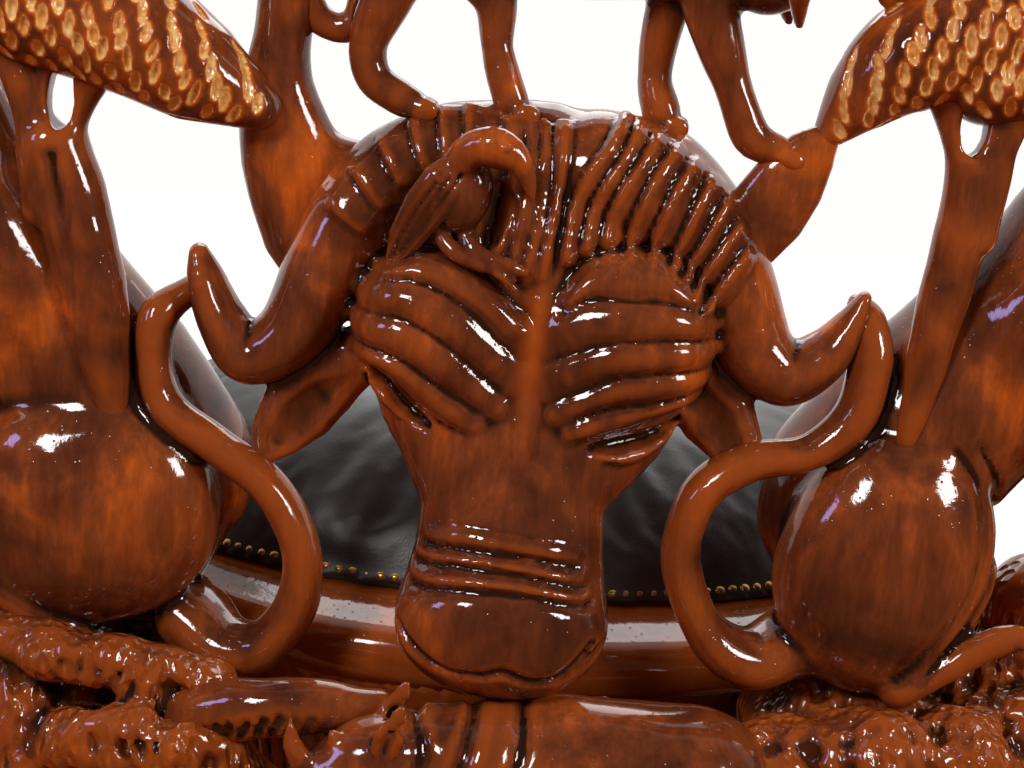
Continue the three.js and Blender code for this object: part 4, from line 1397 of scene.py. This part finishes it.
# %% Rings of points from a profile
def rings(profile, halves, centre_y, sides, spacing):
    """Points of an oval form, its quads, and each point's angle. Profile rows are share, z."""
    rows = [profile[0]]
    for (s0, z0), (s1, z1) in zip(profile[:-1], profile[1:]):
        length = math.hypot((s1 - s0) * halves[0], z1 - z0)
        count = max(1, int(length / spacing))
        rows += [(s0 + (s1 - s0) * i / count, z0 + (z1 - z0) * i / count) for i in range(1, count + 1)]
    rows = np.array(rows)
    angle = np.linspace(0, 2 * math.pi, sides, endpoint=False)
    share, height = rows[:, 0][:, None], rows[:, 1][:, None]
    points = np.stack([share * halves[0] * np.cos(angle), share * halves[1] * np.sin(angle) + centre_y,
                       height + 0 * angle], -1)
    i, j = np.meshgrid(np.arange(len(rows) - 1), np.arange(sides), indexing="ij")
    k = (j + 1) % sides
    quads = np.stack([i * sides + j, i * sides + k, (i + 1) * sides + k, (i + 1) * sides + j],
                     -1).reshape(-1, 4)
    return points, quads, angle


def close_poles(points, quads):
    """Adds a pole under the first ring and over the last one, each with a fan of quads."""
    rows, sides = points.shape[:2]
    flat = points.reshape(-1, 3)
    low, high = len(flat), len(flat) + 1
    flat = np.vstack([flat, points[0].mean(0), points[-1].mean(0)])
    j = np.arange(0, sides, 2)
    last = (rows - 1) * sides
    below = np.stack([np.full_like(j, low), (j + 2) % sides, (j + 1) % sides, j], 1)
    above = np.stack([np.full_like(j, high), last + j, last + (j + 1) % sides, last + (j + 2) % sides], 1)
    return flat, np.vstack([quads, below, above])


def patchy(values, seed, waves=7):
    """Smooth unevenness between -1 and 1 over rows of values, the same each run."""
    rng = np.random.default_rng(seed)
    total = 0
    for _ in range(waves):
        way = rng.normal(0, 1, values.shape[-1])
        total = total + np.sin(values @ way + rng.uniform(0, 6.28))
    return total / math.sqrt(waves) / 1.4


def finish_rings(points, quads, name, tooled=None):
    flat, quads = close_poles(points, quads)
    finish_mesh(flat, quads, name, WOOD, neighbours(quads), tooled=tooled)


# %% Carve the stump, the plinth and the seat
SEAT_HALF = (362, 305)
SEAT_Y, SEAT_Z = 55, 430
STUMP_HALF, STUMP_Y = (300, 275), 15
PLINTH_HALF = (368, 336)
ROOTS = 9


def stump():
    profile = [(0.90, 22), (0.97, 26), (1.0, 34), (0.84, 130), (0.8, 240), (0.88, 340), (0.94, 392),
               (0.88, 398)]
    points, quads, angle = rings(profile, STUMP_HALF, STUMP_Y, 380, 7.0)
    height = points[..., 2]
    lobe = np.cos(ROOTS * angle)[None, :]
    rise = np.clip(1 - height / 400, 0, 1)
    ring = np.stack([np.cos(angle), np.sin(angle)], -1)[None] * np.ones(points.shape[:2])[..., None]
    feel = np.concatenate([ring * 26, height[..., None] / 42], -1)
    bark = patchy(feel * np.array([1, 1, 0.35]), 91)
    drift = 3 * np.sin(height / 60) + 2 * patchy(feel * 0.3, 92)
    cuts = np.abs(np.sin(angle * 62 + drift * 0.8)) ** 0.6
    breaks = np.clip(1.3 + 1.5 * patchy(feel * np.array([0.6, 0.6, 1.2]), 93), 0, 1)
    swell = 0.13 * rise * (lobe - 0.12 * (1 - np.abs(lobe)))
    out = 2.2 * bark + 3.2 * cuts * breaks
    side = (height > 27) & (height < 396)
    place = points[..., :2] - np.array([0, STUMP_Y])
    length = np.linalg.norm(place, axis=-1, keepdims=True)
    grown = place * (1 + np.where(side, swell, 0)[..., None])
    grown = grown + place / np.maximum(length, 1) * np.where(side, out, 0)[..., None]
    points[..., :2] = grown + np.array([0, STUMP_Y])
    finish_rings(points, quads, "stump")


def plinth():
    profile = [(0.95, 0), (0.985, 0), (1.0, 5), (0.995, 22), (0.982, 38), (0.955, 45), (0.90, 46),
               (0.66, 46)]
    points, quads, angle = rings(profile, PLINTH_HALF, 0, 300, 7.0)
    height = points[..., 2]
    edge = np.hypot(points[..., 0] / PLINTH_HALF[0], points[..., 1] / PLINTH_HALF[1]) > 0.93
    feel = np.stack([np.cos(angle) * 14, np.sin(angle) * 14], -1)[None] + height[..., None] / 30
    dents = np.abs(np.sin(angle * 74 + height / 18)) ** 0.5
    shrink = 1 - np.where(edge, 0.006 * dents + 0.005 * (1 + patchy(feel, 95)), 0)
    points[..., :2] *= shrink[..., None]
    finish_rings(points, quads, "plinth")


def seat():
    profile = [(0.72, 384), (0.945, 384), (0.975, 388), (0.995, 396), (1.0, 406), (0.997, 414),
               (0.985, 420), (0.965, 424), (0.88, 430), (0.80, 432)]
    points, quads, angle = rings(profile, SEAT_HALF, SEAT_Y, 260, 6.0)
    feel = np.stack([np.cos(angle) * 9, np.sin(angle) * 9], -1)[None] + points[..., 2:] / 30
    shrink = 1 - 0.0035 * (1 + patchy(feel, 97))
    points[..., :2] = (points[..., :2] - [0, SEAT_Y]) * shrink[..., None] + [0, SEAT_Y]
    finish_rings(points, quads, "seat")


stump()
plinth()
seat()

# %% [markdown]
# ## The leather pad
#
# The pad is soft leather over a firm filling, nailed down all round. It starts as an oval
# cushion that is a little too small, then a cloth simulation blows it up while its rim stays
# held by the nails, which gives the tight crown and small pulls that modelling by hand
# misses. How far a point may move is limited, so the pad stays in its place.

# %% Shape the pad and let it swell
PAD_HALF = (333, 252)
PAD_CROWN = 104
PAD_PRESSURE = 4.0
PAD_MOVE = 0.008
RIM_HEIGHT = 9


def pad_shape():
    lowest = SEAT_Z + 0.6
    profile = [(0.02, lowest), (0.97, lowest), (0.985, lowest + 2), (0.985, lowest + 6),
               (0.965, lowest + RIM_HEIGHT)]
    for i in range(1, 13):
        angle = i / 12 * math.pi / 2
        profile.append((0.955 * math.cos(angle) ** 0.52 if i < 12 else 0.02,
                        SEAT_Z + 11 + (PAD_CROWN - 19) * math.sin(angle)))
    points, quads, _ = rings(profile, PAD_HALF, SEAT_Y, 160, 7.0)
    return close_poles(points, quads)


def swell(piece):
    """Cloth simulation under pressure, with every point's move capped and the rim pinned."""
    mesh = piece.data
    start = np.empty(3 * len(mesh.vertices), np.float32)
    mesh.vertices.foreach_get("co", start)
    start = start.reshape(-1, 3)
    shape = np.hypot(start[:, 0] / PAD_HALF[0], (start[:, 1] - SEAT_Y * MM) / PAD_HALF[1]) / MM
    pins = piece.vertex_groups.new(name="nailed")
    held = np.flatnonzero((start[:, 2] < (SEAT_Z + RIM_HEIGHT) * MM) | (shape > 0.962))
    pins.add([int(i) for i in held], 1.0, "REPLACE")
    cloth = piece.modifiers.new("cloth", "CLOTH")
    cloth.settings.quality = 5
    cloth.settings.mass = 0.4
    cloth.settings.tension_stiffness = 18
    cloth.settings.compression_stiffness = 18
    cloth.settings.bending_stiffness = 2.0
    cloth.settings.use_pressure = True
    cloth.settings.uniform_pressure_force = PAD_PRESSURE
    cloth.settings.effector_weights.gravity = 0
    cloth.settings.vertex_group_mass = "nailed"
    cloth.collision_settings.use_collision = False
    scene = bpy.context.scene
    for number in range(1, 21):
        scene.frame_set(number)
    shaped = piece.evaluated_get(bpy.context.evaluated_depsgraph_get())
    end = np.empty(3 * len(mesh.vertices), np.float32)
    shaped.data.vertices.foreach_get("co", end)
    move = end.reshape(-1, 3) - start
    far = np.linalg.norm(move, axis=1, keepdims=True)
    capped = start + move * np.minimum(1, PAD_MOVE / np.maximum(far, 1e-9))
    piece.modifiers.remove(cloth)
    scene.frame_set(1)
    mesh.vertices.foreach_set("co", capped.astype(np.float32).ravel())
    mesh.update()
    print(f"pad moved up to {far.max() * 1000:.1f} mm, capped at {PAD_MOVE * 1000:.0f} mm")


def bake(piece):
    """Turns what the modifiers make into the piece's own mesh."""
    made = bpy.data.meshes.new_from_object(piece.evaluated_get(bpy.context.evaluated_depsgraph_get()))
    piece.modifiers.clear()
    piece.data = made


def pad():
    points, quads = pad_shape()
    mesh = bpy.data.meshes.new("leather_pad")
    mesh.from_pydata((points * MM).tolist(), [], quads.tolist())
    mesh.update()
    piece = bpy.data.objects.new("leather_pad", mesh)
    bpy.context.collection.objects.link(piece)
    remesh = piece.modifiers.new("even", "REMESH")
    remesh.mode, remesh.voxel_size = "VOXEL", 0.0065
    bake(piece)
    swell(piece)
    fine = piece.modifiers.new("fine", "SUBSURF")
    fine.levels = fine.render_levels = 1
    bake(piece)
    mesh = piece.data
    mesh.name = "leather_pad"
    mesh.shade_smooth()
    mesh.materials.clear()
    mesh.materials.append(LEATHER)
    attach(piece, "root")
    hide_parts("seat_pad")
    print(f"leather_pad: {len(mesh.polygons)} faces, {time.time() - STARTED:.1f} s so far")


pad()

# %% [markdown]
# ## The brass nails
#
# About 180 domed nails hold the pad's rim. They repeat along an oval, so Geometry Nodes place
# them: a circle is stretched to the oval, resampled to the number of nails, and a low dome is
# put on each point with a little random tilt and size from a fixed seed. The tree realizes
# the instances, because the finished piece has to be a plain mesh.

# %% The tree that places the nails
NAIL_COUNT = 184
NAIL_RADIUS = 5.2
NAIL_SEED = 5


def nail_tree():
    tree = bpy.data.node_groups.new("nail row", "GeometryNodeTree")
    new_socket = tree.interface.new_socket
    new_socket(name="Geometry", in_out="OUTPUT", socket_type="NodeSocketGeometry")
    sizes = (("Half width", "Float", 0.32), ("Half depth", "Float", 0.24), ("Centre", "Float", 0.055),
             ("Height", "Float", 0.439), ("Nail radius", "Float", 0.005), ("Nails", "Int", NAIL_COUNT),
             ("Seed", "Int", NAIL_SEED))
    for name, kind, value in sizes:
        new_socket(name=name, in_out="INPUT", socket_type="NodeSocket" + kind).default_value = value
    new_socket(name="Metal", in_out="INPUT", socket_type="NodeSocketMaterial")
    given = wired(tree, "NodeGroupInput", {})
    circle = wired(tree, "GeometryNodeCurvePrimitiveCircle", {"Resolution": 400, "Radius": 1.0})
    oval = wired(tree, "ShaderNodeCombineXYZ", {"X": given["Half width"], "Y": given["Half depth"],
                                                "Z": 1.0})
    place = wired(tree, "ShaderNodeCombineXYZ", {"Y": given["Centre"], "Z": given["Height"]})
    rim = wired(tree, "GeometryNodeTransform", {
        "Geometry": circle["Curve"], "Scale": oval[0], "Translation": place[0]})
    spaced = wired(tree, "GeometryNodeResampleCurve", {"Curve": rim[0], "Count": given["Nails"]})
    ball = wired(tree, "GeometryNodeMeshUVSphere", {
        "Segments": 10, "Rings": 7, "Radius": given["Nail radius"]})
    dome = wired(tree, "GeometryNodeTransform", {"Geometry": ball["Mesh"], "Scale": (1, 1, 0.72)})
    smooth = wired(tree, "GeometryNodeSetShadeSmooth", {"Geometry": dome[0]})
    tilt = wired(tree, "FunctionNodeRandomValue", {
        0: (-0.22, -0.22, 0.0), 1: (0.22, 0.22, 6.28), "Seed": given["Seed"]}, data_type="FLOAT_VECTOR")
    size = wired(tree, "FunctionNodeRandomValue", {2: 0.9, 3: 1.08, "Seed": given["Seed"]})
    put = wired(tree, "GeometryNodeInstanceOnPoints", {
        "Points": spaced["Curve"], "Instance": smooth[0], "Rotation": tilt[0], "Scale": size[1]})
    real = wired(tree, "GeometryNodeRealizeInstances", {0: put[0]})
    coloured = wired(tree, "GeometryNodeSetMaterial", {"Geometry": real[0], "Material": given["Metal"]})
    wired(tree, "NodeGroupOutput", {0: coloured[0]})
    return tree


# %% Set the nails
def nails():
    tree = nail_tree()
    piece = bpy.data.objects.new("brass_nails", bpy.data.meshes.new("brass_nails"))
    bpy.context.collection.objects.link(piece)
    modifier = piece.modifiers.new("nails", "NODES")
    modifier.node_group = tree
    named = {item.name: item.identifier for item in tree.interface.items_tree if item.in_out == "INPUT"}
    values = {"Half width": (PAD_HALF[0] - 12.5) * MM, "Half depth": (PAD_HALF[1] - 11.5) * MM,
              "Centre": SEAT_Y * MM, "Height": (SEAT_Z + 9.5) * MM, "Nail radius": NAIL_RADIUS * MM,
              "Nails": NAIL_COUNT, "Seed": NAIL_SEED, "Metal": BRASS}
    for name, value in values.items():
        modifier[named[name]] = value
    bake(piece)
    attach(piece, "root")
    print(f"brass_nails: {NAIL_COUNT} nails, {len(piece.data.polygons)} faces")


nails()

# %% [markdown]
# ## Stage
#
# The throne stands on a pale floor under soft studio light, seen from behind and a little
# above. What makes varnish look like varnish is what it mirrors, so the room is not evenly
# bright. It is dim behind the viewer and bright beyond the throne, so that edges and upward
# faces catch a pale sheen while the faces towards the viewer stay deep. Two panels in front
# give the crisp highlights, and a small violet one beside them tints their rims. Close to the
# throne the floor is warm in mirrors and white to the eye.

# %% The room and the floor
BEHIND_VIEWER, BEYOND_THRONE = (0.17, 0.10, 0.065, 1), (1.0, 0.985, 0.97, 1)
FLOOR_IN_MIRRORS, FLOOR_FAR_OFF = (0.30, 0.105, 0.035, 1), (1.0, 0.96, 0.92, 1)
FLOOR_REACH = 70.0


def room():
    """A world that is bright beyond the throne and dim behind the viewer."""
    world = bpy.data.worlds.new("studio room")
    world.use_nodes = True
    tree = world.node_tree
    way = wired(tree, "ShaderNodeSeparateXYZ", {0: wired(tree, "ShaderNodeTexCoord", {})["Generated"]})
    beyond = wired(tree, "ShaderNodeMapRange", {"Value": way["Y"], "From Min": -0.05, "From Max": 0.45})
    to_the_eye = wired(tree, "ShaderNodeLightPath", {})["Is Camera Ray"]
    seen = wired(tree, "ShaderNodeMath", {0: to_the_eye, 1: beyond["Result"]}, operation="MAXIMUM")
    shade = wired(tree, "ShaderNodeMix", {
        "Factor": seen[0], 6: BEHIND_VIEWER, 7: BEYOND_THRONE}, data_type="RGBA")
    feed(tree, tree.nodes["Background"], {"Color": shade[2]})
    bpy.context.scene.world = world


def floor():
    """White to the eye, with soft shadows. Mirrors see it brown near by and white far beyond."""
    mesh = bpy.data.meshes.new("floor")
    corners = [(x * FLOOR_REACH, y * FLOOR_REACH, 0) for x, y in ((-1, -1), (1, -1), (1, 1), (-1, 1))]
    mesh.from_pydata(corners, [], [(0, 1, 2, 3)])
    ground = bpy.data.objects.new("floor", mesh)
    bpy.context.collection.objects.link(ground)
    paint = bpy.data.materials.new("pale floor")
    paint.use_nodes = True
    tree = paint.node_tree
    shader = tree.nodes["Principled BSDF"]
    feed(tree, shader, {"Base Color": (0.82, 0.815, 0.81, 1), "Roughness": 0.9,
                        "Emission Color": (1, 1, 1, 1), "Emission Strength": 0.62})
    place = wired(tree, "ShaderNodeSeparateXYZ", {0: wired(tree, "ShaderNodeTexCoord", {})["Object"]})
    far = wired(tree, "ShaderNodeMapRange", {"Value": place["Y"], "From Min": 0.9, "From Max": 1.9})
    mirrored = wired(tree, "ShaderNodeMix", {
        "Factor": far["Result"], 6: FLOOR_IN_MIRRORS, 7: FLOOR_FAR_OFF}, data_type="RGBA")
    glow = wired(tree, "ShaderNodeEmission", {"Color": mirrored[2]})
    to_the_eye = wired(tree, "ShaderNodeLightPath", {})["Is Camera Ray"]
    blend = wired(tree, "ShaderNodeMixShader", {0: to_the_eye, 1: glow[0], 2: shader.outputs[0]})
    feed(tree, tree.nodes["Material Output"], {"Surface": blend[0]})
    mesh.materials.append(paint)


# %% Lights and camera
CARVING_MIDDLE = mathutils.Vector((0, -0.25, 0.55))
CAMERA_PLACE = (0, -1.245, 0.864)
CAMERA_TILT, CAMERA_ROLL = math.radians(75), math.radians(4.5)


def panel(name, place, size, power, colour):
    """A rectangular light that points at the middle of the carving."""
    light = bpy.data.lights.new(name, "AREA")
    light.shape, light.size, light.size_y = "RECTANGLE", size[0], size[1]
    light.energy, light.color = power, colour
    lamp = bpy.data.objects.new(name, light)
    lamp.location = place
    lamp.rotation_euler = (CARVING_MIDDLE - mathutils.Vector(place)).to_track_quat("-Z", "Y").to_euler()
    bpy.context.collection.objects.link(lamp)


def lights():
    panel("left panel", (-0.83, -1.35, 1.68), (0.36, 0.44), 14, (1.0, 0.99, 0.98))
    panel("violet panel", (-1.50, -0.95, 1.35), (0.26, 0.44), 4, (0.50, 0.46, 1.0))
    panel("right panel", (1.38, -1.05, 1.40), (0.40, 0.50), 15, (1.0, 0.985, 0.96))
    panel("far panel", (0.2, 2.2, 2.4), (2.2, 1.4), 30, (1.0, 1.0, 1.0))


def place_camera():
    camera = bpy.data.cameras.new("camera")
    camera.lens, camera.sensor_width = 60.0, 36.0
    holder = bpy.data.objects.new("camera", camera)
    turn = mathutils.Euler((CAMERA_TILT, 0, 0)).to_matrix() @ mathutils.Euler((0, 0,
                                                                               CAMERA_ROLL)).to_matrix()
    holder.matrix_world = mathutils.Matrix.Translation(CAMERA_PLACE) @ turn.to_4x4()
    bpy.context.collection.objects.link(holder)
    bpy.context.scene.camera = holder


room()
floor()
lights()
place_camera()
bpy.context.scene.view_settings.view_transform = "Standard"
print("stage set")

# %% [markdown]
# ## Count the triangles
#
# The dressed throne is made to fill the frame's box, and leather and nails may stand a little
# proud. Here the carving's triangles are counted.

# %% Finish
triangles = sum(len(p.vertices) - 2 for piece in PIECES for p in piece.data.polygons)
print("carving:", triangles, "triangles,", round(time.time() - STARTED, 1), "s")
